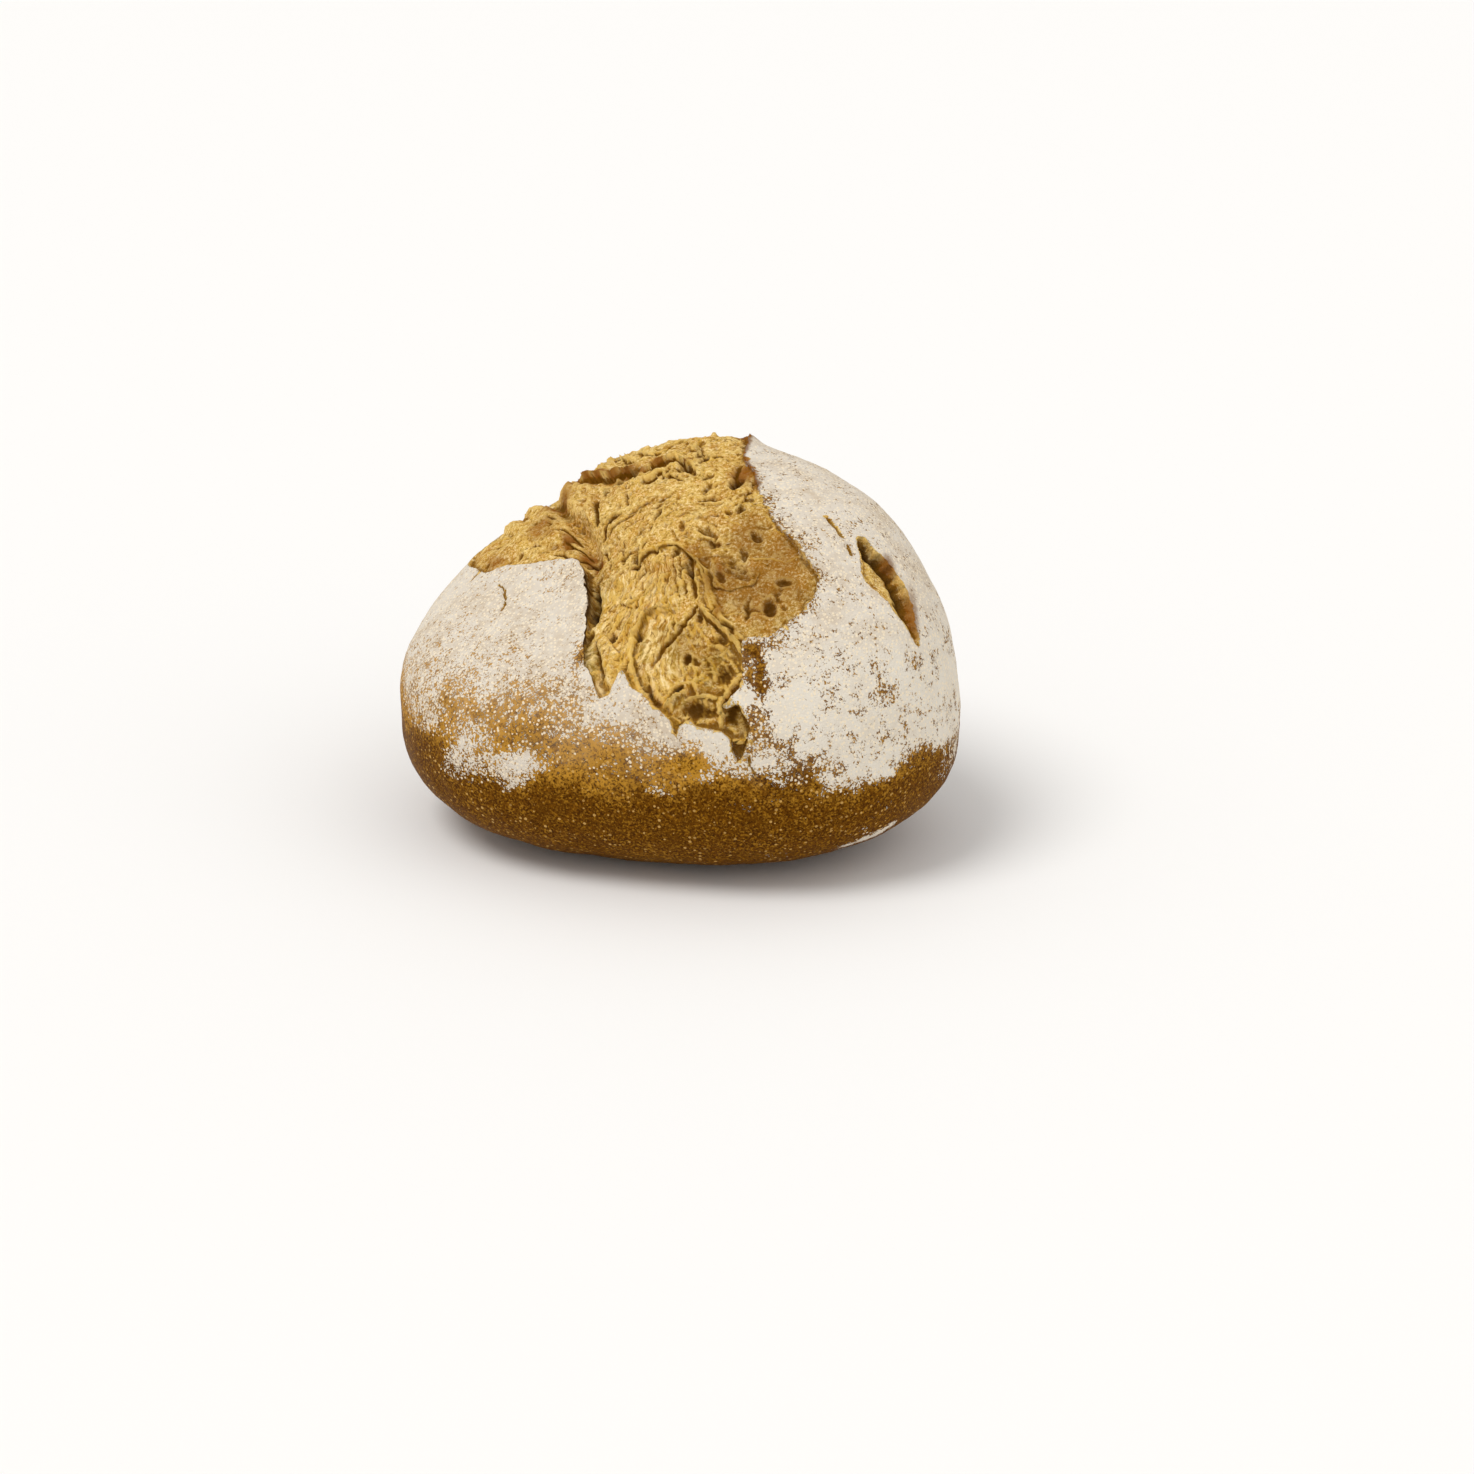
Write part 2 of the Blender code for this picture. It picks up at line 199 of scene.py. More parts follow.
# %% Shape the plain body
BELLY_HEIGHT = 46.1 * MM
MEAN_RADIUS = 93.8 * MM
RADIUS_SWELL_2 = (3.2 * MM, -7.25 * MM)
RADIUS_SWELL_3 = (-0.6 * MM, -5.7 * MM)
DOME_RISE = 75.3 * MM
DOME_LEAN = (28.9 * MM, 19.8 * MM)
UNDERSIDE_DROP = 49.1 * MM
DOME_ROUNDNESS = 2.27
UNDERSIDE_ROUNDNESS = 2.73
UNDERSIDE_SOFTER = (0.2, 0.16)
TOP_SHIFT = (-3.3, 0.1)
TOP_SHIFT_SPAN = 90
NORMAL_STEP = 0.002
NORMAL_STEP_AWAY_FROM = (0.1, 0.2, 1.0)


def plain_body(directions):
    """Points of the unbroken loaf in the given directions from its heart."""
    x, y, z = directions.T
    around = np.arctan2(y, x)
    level = np.hypot(x, y)
    radius = MEAN_RADIUS
    for times, (cosine, sine) in ((2, RADIUS_SWELL_2), (3, RADIUS_SWELL_3)):
        radius = radius + cosine * np.cos(times * around) + sine * np.sin(times * around)
    lean = DOME_LEAN[0] * np.cos(around) + DOME_LEAN[1] * np.sin(around)
    above = z > 0
    height = np.where(above, DOME_RISE + lean * level, UNDERSIDE_DROP)
    softer = UNDERSIDE_SOFTER[0] * np.cos(around) + UNDERSIDE_SOFTER[1] * np.sin(around)
    power = np.where(above, DOME_ROUNDNESS, UNDERSIDE_ROUNDNESS - softer)
    reach = ((level / radius) ** power + (np.abs(z) / height) ** power) ** (-1 / power)
    points = directions * reach[:, None]
    raised = np.clip(points[:, 2], 0, None) / TOP_SHIFT_SPAN
    points[:, 0] += TOP_SHIFT[0] * raised
    points[:, 1] += TOP_SHIFT[1] * raised
    points[:, 2] += BELLY_HEIGHT
    return points


def outward_normals(directions):
    """Unit normals of the plain body, from two short steps along its surface."""
    sideways = np.cross(directions, NORMAL_STEP_AWAY_FROM)
    sideways /= np.linalg.norm(sideways, axis=1)[:, None]
    onwards = np.cross(directions, sideways)
    here = plain_body(directions)
    moved = []
    for way in (sideways, onwards):
        near = directions + NORMAL_STEP * way
        near /= np.linalg.norm(near, axis=1)[:, None]
        moved.append(plain_body(near) - here)
    normals = np.cross(moved[0], moved[1])
    normals *= np.sign((normals * directions).sum(axis=1))[:, None]
    return normals / np.linalg.norm(normals, axis=1)[:, None]


print("top of the plain body in mm", plain_body(np.array([(0.0, 0.0, 1.0)]))[0] * 1000)

# %% [markdown]
# ## A fine skin
#
# A sphere made of a cube's six grids has no pinched poles, so it makes a good skin. Its cells are
# spread evenly, but flour and smooth crust need few, and the torn crumb needs many. Sliding every
# corner towards the middle of the tear packs the cells there to about half a millimetre.

# %% Make the skin's grid
GRID_CELLS = 128
CELL_SCALE_AT_TEAR = 0.42
TEAR_MIDDLE = (-2, 18)


def crowded_ball(cells, scale, middle):
    """A ball of square grids whose cells shrink to a scale around the middle direction."""
    ball = bmesh.new()
    bmesh.ops.create_cube(ball, size=2)
    bmesh.ops.subdivide_edges(ball, edges=ball.edges[:], cuts=cells - 1, use_grid_fill=True)
    corners = np.array([vert.co for vert in ball.verts])
    corners = np.tan(corners * math.pi / 4)
    corners /= np.linalg.norm(corners, axis=1)[:, None]
    cosine = np.clip(corners @ middle, -1, 1)
    turn = 2 * np.arctan(scale * np.tan(np.arccos(cosine) / 2))
    across = corners - cosine[:, None] * middle
    across /= np.maximum(np.linalg.norm(across, axis=1), 1e-9)[:, None]
    ball.verts.index_update()
    return ball, np.cos(turn)[:, None] * middle + np.sin(turn)[:, None] * across


ball, directions = crowded_ball(GRID_CELLS, CELL_SCALE_AT_TEAR, directions_on_map([TEAR_MIDDLE])[0])
places = places_on_map(directions)
print("skin corners", len(places))

# %% [markdown]
# ## Lines on the map
#
# The tear's edge, the peeled sheets and the stretched strands are all smooth lines through a few
# chosen places. For each corner of the skin, one function finds the nearest point of such a line,
# how far away it is, on which side, and how far along. Steps, ridges and valleys all follow from
# these four answers.

# %% Draw lines and measure from them
def rounded(points, closed=False, steps=6):
    """A Catmull-Rom curve through a few map points."""
    points = np.array(points, float)
    count = len(points)
    spans = np.arange(count if closed else count - 1)

    def point(index):
        return points[index % count] if closed else points[np.clip(index, 0, count - 1)]

    before, start, end, after = (point(spans + shift)[:, None] for shift in (-1, 0, 1, 2))
    t = (np.arange(steps) / steps)[None, :, None]
    curve = (start + 0.5 * t * (end - before)
             + 0.5 * t ** 2 * (2 * before - 5 * start + 4 * end - after)
             + 0.5 * t ** 3 * (3 * start - before - 3 * end + after)).reshape(-1, 2)
    return curve if closed else np.vstack((curve, points[-1]))


def nearest_on_curve(spots, curve, closed=False):
    """For each spot: nearest point of the curve, distance, side (1 is left) and share along it."""
    ends = np.roll(curve, -1, axis=0) if closed else curve[1:]
    starts = curve if closed else curve[:-1]
    spans = ends - starts
    best = np.full(len(spots), np.inf)
    nearest = np.zeros_like(spots)
    side = np.ones(len(spots))
    share = np.zeros(len(spots))
    for index, (start, span) in enumerate(zip(starts, spans)):
        offset = spots - start
        t = np.clip(offset @ span / max(span @ span, 1e-9), 0, 1)
        point = start + t[:, None] * span
        away = np.hypot(*(spots - point).T)
        closer = away < best
        best[closer] = away[closer]
        nearest[closer] = point[closer]
        cross = span[0] * offset[:, 1] - span[1] * offset[:, 0]
        side[closer] = np.where(cross[closer] < 0, -1, 1)
        share[closer] = (index + t[closer]) / len(spans)
    return nearest, best, side, share


def inside_outline(spots, curve):
    """Which spots lie inside a closed curve, by counting its crossings of a level line."""
    u, v = spots.T
    crossings = np.zeros(len(spots), int)
    for (u0, v0), (u1, v1) in zip(curve, np.roll(curve, -1, axis=0)):
        spans = (v0 > v) != (v1 > v)
        slope = (u1 - u0) / (v1 - v0 if v1 != v0 else 1e-9)
        crossings += spans & (u < u0 + slope * (v - v0))
    return crossings % 2 == 1


def smooth_step(values, low, high):
    """Share from 0 to 1 as the values go from low to high, easing in and out."""
    t = np.clip((values - low) / (high - low), 0, 1)
    return t * t * (3 - 2 * t)


def uneven(spots, size, seed=0.0):
    """Blender's noise, about -1 to 1, on map or space coordinates, with lumps of a size."""
    grown = np.zeros((len(spots), 3))
    grown[:, :spots.shape[1]] = spots / size
    grown[:, 2] += seed
    return np.array([noise.noise(Vector(spot)) for spot in grown])


def lumpy(spots, amount, size, seed):
    """Uneven noise that goes up and down by about an amount."""
    return amount * uneven(spots, size, seed)


print("a curve through four places has", len(rounded([(0, 0), (1, 0), (1, 1), (0, 1)])), "points")

# %% [markdown]
# ## The edge of the tear
#
# The crust ripped along a line with spikes, corners and one long arm over the left shoulder. The
# line is kept as its corner points, and fine noise makes it ragged, as dry dough tears. Cells close
# to the edge are drawn to it, because the step down from crust to crumb is only a millimetre wide.

# %% Trace the tear
TEAR_EDGE = (
    (16, -40.5), (12.5, -34.8), (7.4, -34), (3.6, -32.5), (2, -36), (-1, -31.5), (-8.8, -24.7),
    (-11.8, -20.8), (-13.5, -24.5), (-17.3, -27), (-20.3, -21.5), (-23, -17), (-24, -8),
    (-25.2, 5.5), (-27.1, 12.6), (-29.9, 24.4), (-36.9, 27.5), (-48, 29.4), (-57.5, 31.5),
    (-62.5, 31), (-67, 36), (-72, 44), (-70, 62), (-60, 78), (-46, 88), (-31, 92), (-15, 96),
    (-2, 100), (4, 99), (10, 88), (17, 78), (22, 69), (23.5, 62), (21.4, 48.5), (22.2, 42),
    (23.1, 36.5), (23.8, 27), (26.4, 17), (29.7, 9.8), (32.5, 2.5), (32.6, -0.5), (30.5, -4.5),
    (27.3, -8.8), (22.5, -12.5), (17.6, -13.8), (17.2, -21), (15.7, -25), (12.9, -28.6),
    (15.9, -27.5), (18.3, -33),
)
SIDE_BURST_EDGE = (
    (41.5, 14), (44.3, 11.5), (48, 6.3), (50.2, 1), (51, -4.6), (52.2, -9), (48.5, -5), (45.5, -1.2),
    (41.6, 3), (41.2, 7.5),
)
RAGGED_SIZES = ((2.6, 0.55), (1.1, 0.28))
RAGGED_SEEDS = (3.1, 9.7)
EDGE_PULL_REACH = 3.0
EDGE_PULL_POWER = 1.6

tear_curve = rounded(TEAR_EDGE, closed=True)
burst_curve = rounded(SIDE_BURST_EDGE, closed=True)


def ragged(spots):
    """Map spots shaken a little, so that a line through them comes out torn."""
    shaken = spots.copy()
    for size, amount in RAGGED_SIZES:
        for axis, seed in enumerate(RAGGED_SEEDS):
            shaken[:, axis] += amount * uneven(spots, size, seed)
    return shaken


for curve in (tear_curve, burst_curve):
    shaken = ragged(places)
    nearest, away, _, _ = nearest_on_curve(shaken, curve, closed=True)
    pull = 1 - np.clip(away / EDGE_PULL_REACH, 1e-6, 1) ** (EDGE_PULL_POWER - 1)
    places = places + (nearest - shaken) * pull[:, None]

shaken = ragged(places)
nearest, away, _, _ = nearest_on_curve(shaken, tear_curve, closed=True)
depth_in = np.where(inside_outline(shaken, tear_curve), away, -away)
inwards = (shaken - nearest) / np.maximum(away, 1e-6)[:, None] * np.sign(depth_in)[:, None]
print("share of corners in the tear", (depth_in > 0).mean())

# %% [markdown]
# ## The levels of the crumb
#
# The crumb isn't one surface. The crown stands a little proud, a gap runs down beside the left
# crust, and a bowl opens low in the middle, under an arch. Each level is a place (u, v) and a height
# in millimetres above the plain body, and the crumb is eased between them.

# %% Ease the crumb between its levels
CRUMB_LEVELS = (
    (0, 88, -1), (-25, 78, -1), (14, 78, -0.5), (0, 64, 0), (15, 56, 0), (-18, 54, -0.5), (0, 42, 2.5),
    (-17, 36, 0.5), (0, 23, 2.5), (18, 28, 0), (-16, 18, -0.5), (-26, 20, -6.5), (-23, 5, -5.5),
    (-21, -10, -2.4), (-18, -20, -2), (-15, 0, -1), (-13, -14, -1.5), (3, 9, -1.5), (6, -3, -5),
    (4, -14, -3.5), (10, -12, -3.5), (-5, -22, -5.5), (12, -20, -5), (6, -29, -5), (14, -32, -3.5),
    (20, 6, -1.5), (27, -2, -1.5), (20, -8, -1.5), (-28, 33, -6), (-38, 34, -2.5), (-50, 34, -2),
    (-62, 36, -1.5), (-50, 47, 0), (-61, 48, 0), (-45, 62, -1), (-30, 68, 0), (-55, 62, -1),
)
CRUMB_LEVEL_SPREAD = 5


def crumb_level(spots):
    """Height of the crumb, eased between the named levels."""
    total = np.zeros(len(spots))
    weights = np.full(len(spots), 1e-9)
    for u, v, height in CRUMB_LEVELS:
        squared = ((spots - (u, v)) ** 2).sum(axis=1)
        weight = np.exp(-squared / (2 * CRUMB_LEVEL_SPREAD ** 2))
        total += weight * height
        weights += weight
    return total / weights


crumb = crumb_level(shaken)
print("crumb levels from", crumb.min(), "to", crumb.max(), "mm")

# %% [markdown]
# ## The edges of torn sheets
#
# The crumb tore in layers, and each large layer ends in an edge: raised on one side, dropping on the
# other, and leaning over the crevice below it a little. Each edge is a line with its rise, its drop
# and how far it reaches. On the crown, which dried first, the edges are frayed: the places that the
# line is measured from are shaken before it is laid.

# %% Raise the edges of torn sheets
SHEET_EDGES = {
    "crown_lip": (
        ((-12.8, 13.2), (-7, 16.3), (-3, 17.3), (2.2, 17.7), (6.3, 13.2), (9.3, 6.8)), 1.0, 1.6, 2.6,
    ),
    "left_curtain": (
        ((-1.8, -30.3), (-7, -24.1), (-9, -18.9), (-8.9, -12.5), (-6.8, -6.3), (-3.7, -2), (2.7, -0.8)),
        1.4, 0.8, 2.2,
    ),
    "shoulder_flake": (
        ((-32, 72), (-27, 66), (-23.5, 65), (-18, 61), (-13, 61), (-9, 57)), 4.2, 2.2, 3.2,
    ),
    "flake_behind": (((-26, 78), (-22, 79), (-16.5, 78), (-12.6, 71), (-9.4, 64.5)), 2.2, 1.5, 2.5),
    "crown_arc": (
        ((-7, 54.5), (-5.4, 59), (-2, 59.5), (1, 57.5), (5, 53.9), (8.5, 46.5), (10.3, 41)), 1.9, 2.4, 2.4,
    ),
    "inner_arc": (((-7.9, 52), (-5.2, 48.5), (-0.8, 48.6), (3.2, 45.5), (7, 40.5)), 1.2, 1.6, 2),
    "crown_top_left": (((-10.5, 74), (-5.5, 66.5), (-1.3, 67.3), (6, 69.2)), 1.0, 1.0, 2.5),
    "crown_top_right": (((6.5, 62), (11.3, 54), (16.1, 50.5)), 1.1, 1.3, 2),
    "crown_peel": (((-22.5, 33.5), (-22, 36), (-21.1, 38.5), (-17.8, 39.8), (-13.5, 39.4)), 1.4, 1.9, 2),
    "crown_fold": (((-21, 34), (-12, 36), (-1, 38)), 0.9, 0.7, 2.5),
    "shoulder_crag": (((-38, 41.5), (-34.7, 37.6), (-31.8, 35.6), (-28.4, 31.4)), 1.3, 1.6, 2),
    "corner_crag": (((-37, 29.8), (-33.6, 31.4), (-30.7, 31.2), (-27.8, 28.7)), 1.1, 1.5, 1.8),
    "right_ring": (((12, 9), (11.5, 3), (15, 0.5), (20, 1.2), (21.5, 6)), 0.5, 0.6, 1.5),
}
SHEET_EDGE_SOFTNESS = 0.35
SHEET_OVERHANG = 0.4
EDGE_MARK_WIDTH = 0.8
SHEET_FRAY = (0.3, 1.3)
SHEET_FRAY_SIZE = 2.3
SHEET_FRAY_SEEDS = (51.0, 57.0)
FRAYED_UP_FROM = (25, 45)
LINE_FADES_OVER = (-0.05, 0.2)


def faded_ends(share):
    """Share from 0 at a line's two ends to 1 along its middle."""
    return smooth_step(np.minimum(share, 1 - share), *LINE_FADES_OVER)


def sheet_edge(spots, points, rise, drop, reach):
    """Height of a torn sheet's edge, raised on its left, its lean over its right, and its marks.

    The marks, from 0 to 1, are the painted shade below the edge and the thin top of the edge itself.
    """
    near, distance, side, share = nearest_on_curve(spots, rounded(points))
    high = smooth_step(side * distance, -SHEET_EDGE_SOFTNESS, SHEET_EDGE_SOFTNESS)
    ends = faded_ends(share)
    height = (high * rise - (1 - high) * drop) * np.exp(-distance / reach) * ends
    over = (near - spots) / np.maximum(distance, 1e-6)[:, None] * side[:, None]
    close_by = np.exp(-(distance / EDGE_MARK_WIDTH) ** 2) * ends
    lean = over * (SHEET_OVERHANG * close_by * (2 * high - 1))[:, None]
    return height, lean, (1 - high) * close_by * min(1, drop), high * close_by * min(1, rise)


lean_over = np.zeros_like(places)
frayed = SHEET_FRAY[0] + (SHEET_FRAY[1] - SHEET_FRAY[0]) * smooth_step(places[:, 1], *FRAYED_UP_FROM)
frays = np.column_stack([uneven(places, SHEET_FRAY_SIZE, seed) for seed in SHEET_FRAY_SEEDS])
frayed_places = shaken + frayed[:, None] * frays
# The crevices under sheet edges, folds and peels are kept as painted shade for the crumb's colour.
crevice_shades = np.zeros(len(places))
edge_tops = np.zeros(len(places))
for sheet in SHEET_EDGES.values():
    sheet_height, sheet_lean, under, top = sheet_edge(frayed_places, *sheet)
    crumb += sheet_height
    lean_over += sheet_lean
    crevice_shades = np.maximum(crevice_shades, under)
    edge_tops = np.maximum(edge_tops, top)
print(len(SHEET_EDGES), "sheet edges, crumb from", crumb.min(), "to", crumb.max(), "mm")

# %% [markdown]
# ## Strands and folds
#
# Where the dough stretched it drew out into thick rounded ropes, and where two sheets meet or one
# doubles over, a narrow fold opens. Both are the same thing laid along a line: a smooth ridge, or a
# valley when its height is negative. The folds are also marked as crevices, for painted shade later.

# %% Lay strands and open folds
STRANDS = {
    "outer_rope": (((9.3, 6.8), (10.2, -0.7), (12.7, -7.3), (15.6, -11.5), (17.7, -13.8)), 0.9, 1.5),
    "inner_rope": (
        ((7.2, -0.8), (9.3, -4.3), (12.1, -8.7), (14.6, -12), (16.7, -15.7), (16.8, -19.7), (15.2, -23.3),
         (13, -25.6)), 0.7, 1.7,
    ),
    "basket_rim": (((3.8, -26.8), (8, -25.9), (11.3, -26.3)), 0.5, 1.2),
    "basket_bow": (((-1.8, -29.2), (0.2, -27.3), (2.3, -25.2), (3.8, -24.6)), 0.6, 1.5),
    "basket_post": (((13, -25.6), (11.7, -27.3), (11.7, -34.8)), 0.6, 1.5),
    "left_gap": (((-26, 18), (-24, 9), (-22.8, 1), (-22.8, -5)), 1.0, -5.0),
    "left_crags": (((-20, -14), (-17.5, -22), (-16, -25)), 1.2, -2.4),
    "flank_ridge": (((-37, 58), (-34, 65), (-31, 70)), 1.2, 1.6),
    "flank_fold": (((-27.5, 43), (-27.2, 51), (-26, 57.5)), 0.9, 1.6),
    "shoulder_valley": (
        ((-50, 90), (-44, 74), (-38, 58), (-32, 46), (-29, 36), (-26, 22)), 3.0, -5.0,
    ),
}

FOLDS = {
    "arch_line": (((7.2, -1.7), (6.2, -2.7), (2.5, -8.5), (-2.2, -14.3), (-5.3, -19.2)), 0.6, -2.0),
    "arch_right": (((7.5, -2.2), (9, -5.8), (11.5, -9.8), (14, -13)), 0.45, -1.5),
    "tongue_fold": (((5.8, 14), (6.1, 12.4), (6.4, 6.7), (6.6, -0.4)), 0.55, -2.0),
    "bowl_crevice": (((-6, -22), (-5, -26), (-2.3, -28.8)), 0.6, -1.8),
    "flank_slot": (((-25, 54), (-24.2, 48), (-24.3, 41)), 0.9, -3.2),
    "flake_slot": (((-21, 59), (-17, 58.5), (-12, 58.5), (-9, 56)), 0.9, -3.4),
    "arc_slot": (((-3, 56.5), (1, 55.5), (5, 51.5), (7.5, 46)), 0.6, -2.4),
    "crown_right": (((9, 60), (12, 57), (15, 55)), 0.5, -2.0),
    "crown_cleft": (((2, 50), (5, 47.5), (9, 44)), 0.45, -1.8),
    "crown_crease": (((-12, 56), (-15, 52), (-21, 49)), 0.5, -2.0),
    "left_crease": (((-23, 30), (-21, 26), (-21, 21)), 0.5, -1.8),
    "middle_crease": (((-14, 31), (-8, 32.5), (-3, 31.5)), 0.35, -1.4),
    "crown_slot": (((-10, 50), (-13, 46), (-18, 42.5)), 0.5, -2.0),
    "peel_slit": (((-12.3, 42.5), (-12.8, 49.5)), 0.4, -1.6),
    "ear_slit": (((20, 46), (18.5, 41), (19, 37)), 0.6, -2.2),
    "lip_slit": (((-6.6, 18.2), (-4.4, 21)), 0.4, -1.6),
    "middle_slit": (((-3.4, 27), (-4.5, 24)), 0.45, -1.6),
    "right_slit": (((12.8, 17), (11.6, 14)), 0.35, -1.3),
    "left_crevice": (((-20.5, -9), (-19.5, -14), (-17.8, -20)), 0.5, -2.0),
    "shoulder_slit": (((-44, 44), (-41, 46), (-38, 45)), 0.4, -1.6),
    "shoulder_crag": (((-39, 47), (-35, 44), (-32.5, 38)), 0.6, -2.4),
    "shoulder_crease": (((-42, 36), (-38, 34), (-34, 29)), 0.5, -2.2),
}
FOLD_SHADE_FROM = 2.0


def strand(spots, points, half_width, height):
    """A rounded strand laid along a curve, or a valley where the height is negative."""
    _, distance, _, share = nearest_on_curve(spots, rounded(points))
    return height * np.exp(-(distance / half_width) ** 2) * faded_ends(share)


for stretched in STRANDS.values():
    crumb += strand(shaken, *stretched)
for fold in FOLDS.values():
    opening = strand(shaken, *fold)
    crumb += opening
    # Each fold's depth also sets painted shade in it.
    crevice_shades = np.maximum(crevice_shades, np.clip(-opening / FOLD_SHADE_FROM, 0, 1))
print("share of corners in a crevice", (crevice_shades > 0.5).mean())

# %% [markdown]
# ## Large gas bubbles
#
# Here and there a large bubble burst and left an oval hollow, deep where it was round and shallow
# where it was drawn out. Each has a place, two half widths, a turn in degrees and a depth. Its walls
# are steep, and a low rim stands round it.

# %% Burst the large bubbles
BUBBLES = (
    (18.5, 36, 3.0, 1.6, 75, 4.5), (18.7, 24.8, 1.3, 1.1, 0, 2.2), (-7.1, 26.2, 2.2, 1.1, 25, 2),
    (22.7, -5.2, 2.2, 1.4, 80, 3.5), (16.7, 5.2, 2.6, 2.0, 20, 1.2), (18.3, -5.7, 3.0, 0.6, 80, 1.8),
    (12.7, -21.2, 2.2, 1.5, 60, 2.2), (11.8, -12.8, 1.8, 1.2, 0, 1.8), (6.2, -29.8, 3.4, 2.1, 0, 2.6),
    (1.8, -24.3, 1.3, 0.7, 0, 1.6), (14.5, -29.8, 2.6, 1.4, 80, 2.4), (-10.4, 58.6, 2.8, 1.5, 25, 3.2),
    (-20.6, 55.6, 1.3, 1.0, 40, 3.0), (-29.3, 29, 1.8, 1.4, 20, 2.6), (-48.9, 41.5, 1.6, 1, 60, 2.4),
    (-52.9, 38.4, 1.7, 0.7, 70, 1.8), (-64.5, 39.4, 1.2, 0.8, 60, 1.6), (-42.6, 48.5, 1.6, 0.7, 15, 1.5),
    (-51.4, 49.3, 1.6, 0.7, 15, 1.3), (-34.6, 40, 1.1, 0.9, 0, 1.8), (-9.1, 14.5, 1.5, 1.2, 30, 1.6),
    (-4.7, 12.2, 2.8, 2.0, 30, 0.8), (-1.2, 32.2, 0.9, 0.8, 0, 1.2), (4.2, 45.5, 1.2, 1.0, 0, 1.5),
    (20.9, 31, 0.9, 0.7, 0, 1.2), (25.4, -5.2, 0.9, 0.6, 0, 1.2), (24.8, -1.2, 0.8, 0.6, 60, 1.4),
    (29, -2.5, 1.6, 1.3, 0, 0.8), (6.3, -13.8, 0.9, 0.8, 0, 0.7), (2, -24.5, 1.5, 1.1, 40, 1.8),
    (-4.4, 11.4, 1.3, 0.9, 20, 1.0), (-8.6, 16.2, 0.8, 1.6, 0, 1.6),
)
BUBBLE_RIM_RISE = 0.18
BUBBLE_RIM_AT = 1.25
BUBBLE_RIM_WIDTH = 0.25
BUBBLE_STEEPNESS = 3


def bubble(spots, u, v, half_length, half_width, turn, depth):
    """A hollow with steep walls and a low rim round it."""
    angle = math.radians(turn)
    du, dv = (spots - (u, v)).T
    long_way = (du * math.cos(angle) + dv * math.sin(angle)) / half_length
    short_way = (dv * math.cos(angle) - du * math.sin(angle)) / half_width
    out = np.hypot(long_way, short_way)
    rim = BUBBLE_RIM_RISE * np.exp(-((out - BUBBLE_RIM_AT) / BUBBLE_RIM_WIDTH) ** 2)
    return depth * (rim - np.exp(-out ** BUBBLE_STEEPNESS))


for hollow in BUBBLES:
    crumb += bubble(shaken, *hollow)
print("crumb stands from", crumb.min(), "to", crumb.max(), "mm")

# %% [markdown]
# ## Which way the dough stretched
#
# Dough stretches away from where it rises most. On the crown the fibres fan out from the top, and
# below the crown's lip they fan out from the lip's peak, down the curtain on the left and the rope
# on the right. A pair of coordinates that follow the fan, one across the fibres and one along them,
# turns plain noise into fibres once the second is squeezed. Lumps of several sizes lie over them all.
# Low on the right a few places stayed calm and smooth, and high on the crown stand small crags.

# %% Comb the crumb
CROWN_FAN = (5, 38)
LIP_FAN = (3, 17)
FAN_CHANGE = (-14, 44)
FAN_ACROSS = 22
FAN_CLEAR = (3, 9)
TURN_SWERVE = (0.16, 11, 5.0)
LENGTH_SWERVE = (1.5, 6, 8.0)
LESS_COMBED = 0.6
LESS_COMBED_FROM = (6, 16)
CURTAIN_FALLS_FROM = (-18, -10)
CURTAIN_ENDS_AT = (-1, 5)
HIGH_UP_FROM = (44, 60)
FIBRES = ((1.5, 8.0, 0.3), (0.65, 9.0, 0.24))
FIBRE_LEAST = 0.2
FIBRE_SHARPNESS = 2.6
LUMPS = ((8, 1.2), (3.8, 0.38), (1.9, 0.15), (0.9, 0.12))
LUMPS_UP_HIGH = 1.1
CROWN_CRAG_SIZE = 2.1
CROWN_CRAG_HEIGHT = 3.4
CROWN_CRAG_FROM = 0.12
CROWN_CRAG_POWER = 1.5
CALM_PLACES = ((20, 2, 9, 9), (18, 15, 6, 10), (3, -14, 4.5, 6), (-3, -9, 3, 6), (26, 6, 6, 8))
CALMED = 0.75
TEAR_MARGIN = 2

tear_near = np.flatnonzero(depth_in > -TEAR_MARGIN)
near_places = shaken[tear_near]


def fan_origin(spots):
    """Where the fibres at each spot fan out from."""
    share = smooth_step(spots[:, 1], *FAN_CHANGE)[:, None]
    return (1 - share) * np.array(LIP_FAN) + share * np.array(CROWN_FAN)


fan_offset = near_places - fan_origin(near_places)
fan_radius = np.hypot(*fan_offset.T)
fan_turn = np.arctan2(fan_offset[:, 0], -fan_offset[:, 1])
fan_turn += lumpy(near_places, *TURN_SWERVE)
across = fan_turn * FAN_ACROSS
along = fan_radius + lumpy(near_places, *LENGTH_SWERVE)
near_u, near_v = near_places.T
combed = smooth_step(fan_radius, *FAN_CLEAR) * (1 - LESS_COMBED * smooth_step(near_u, *LESS_COMBED_FROM))
curtain = smooth_step(-near_v, *CURTAIN_FALLS_FROM) * (1 - smooth_step(near_u, *CURTAIN_ENDS_AT))
high_up = smooth_step(near_v, *HIGH_UP_FROM)


def around_spots(spots, *middles):
    """Share from 0 to 1 of being near any of the places (u, v, half width, half height)."""
    shares = [np.exp(-(((spots - (u, v)) / (width, tall)) ** 2).sum(axis=1))
              for u, v, width, tall in middles]
    return np.max(shares, axis=0)


calm = around_spots(near_places, *CALM_PLACES)
rough = 1 - CALMED * calm

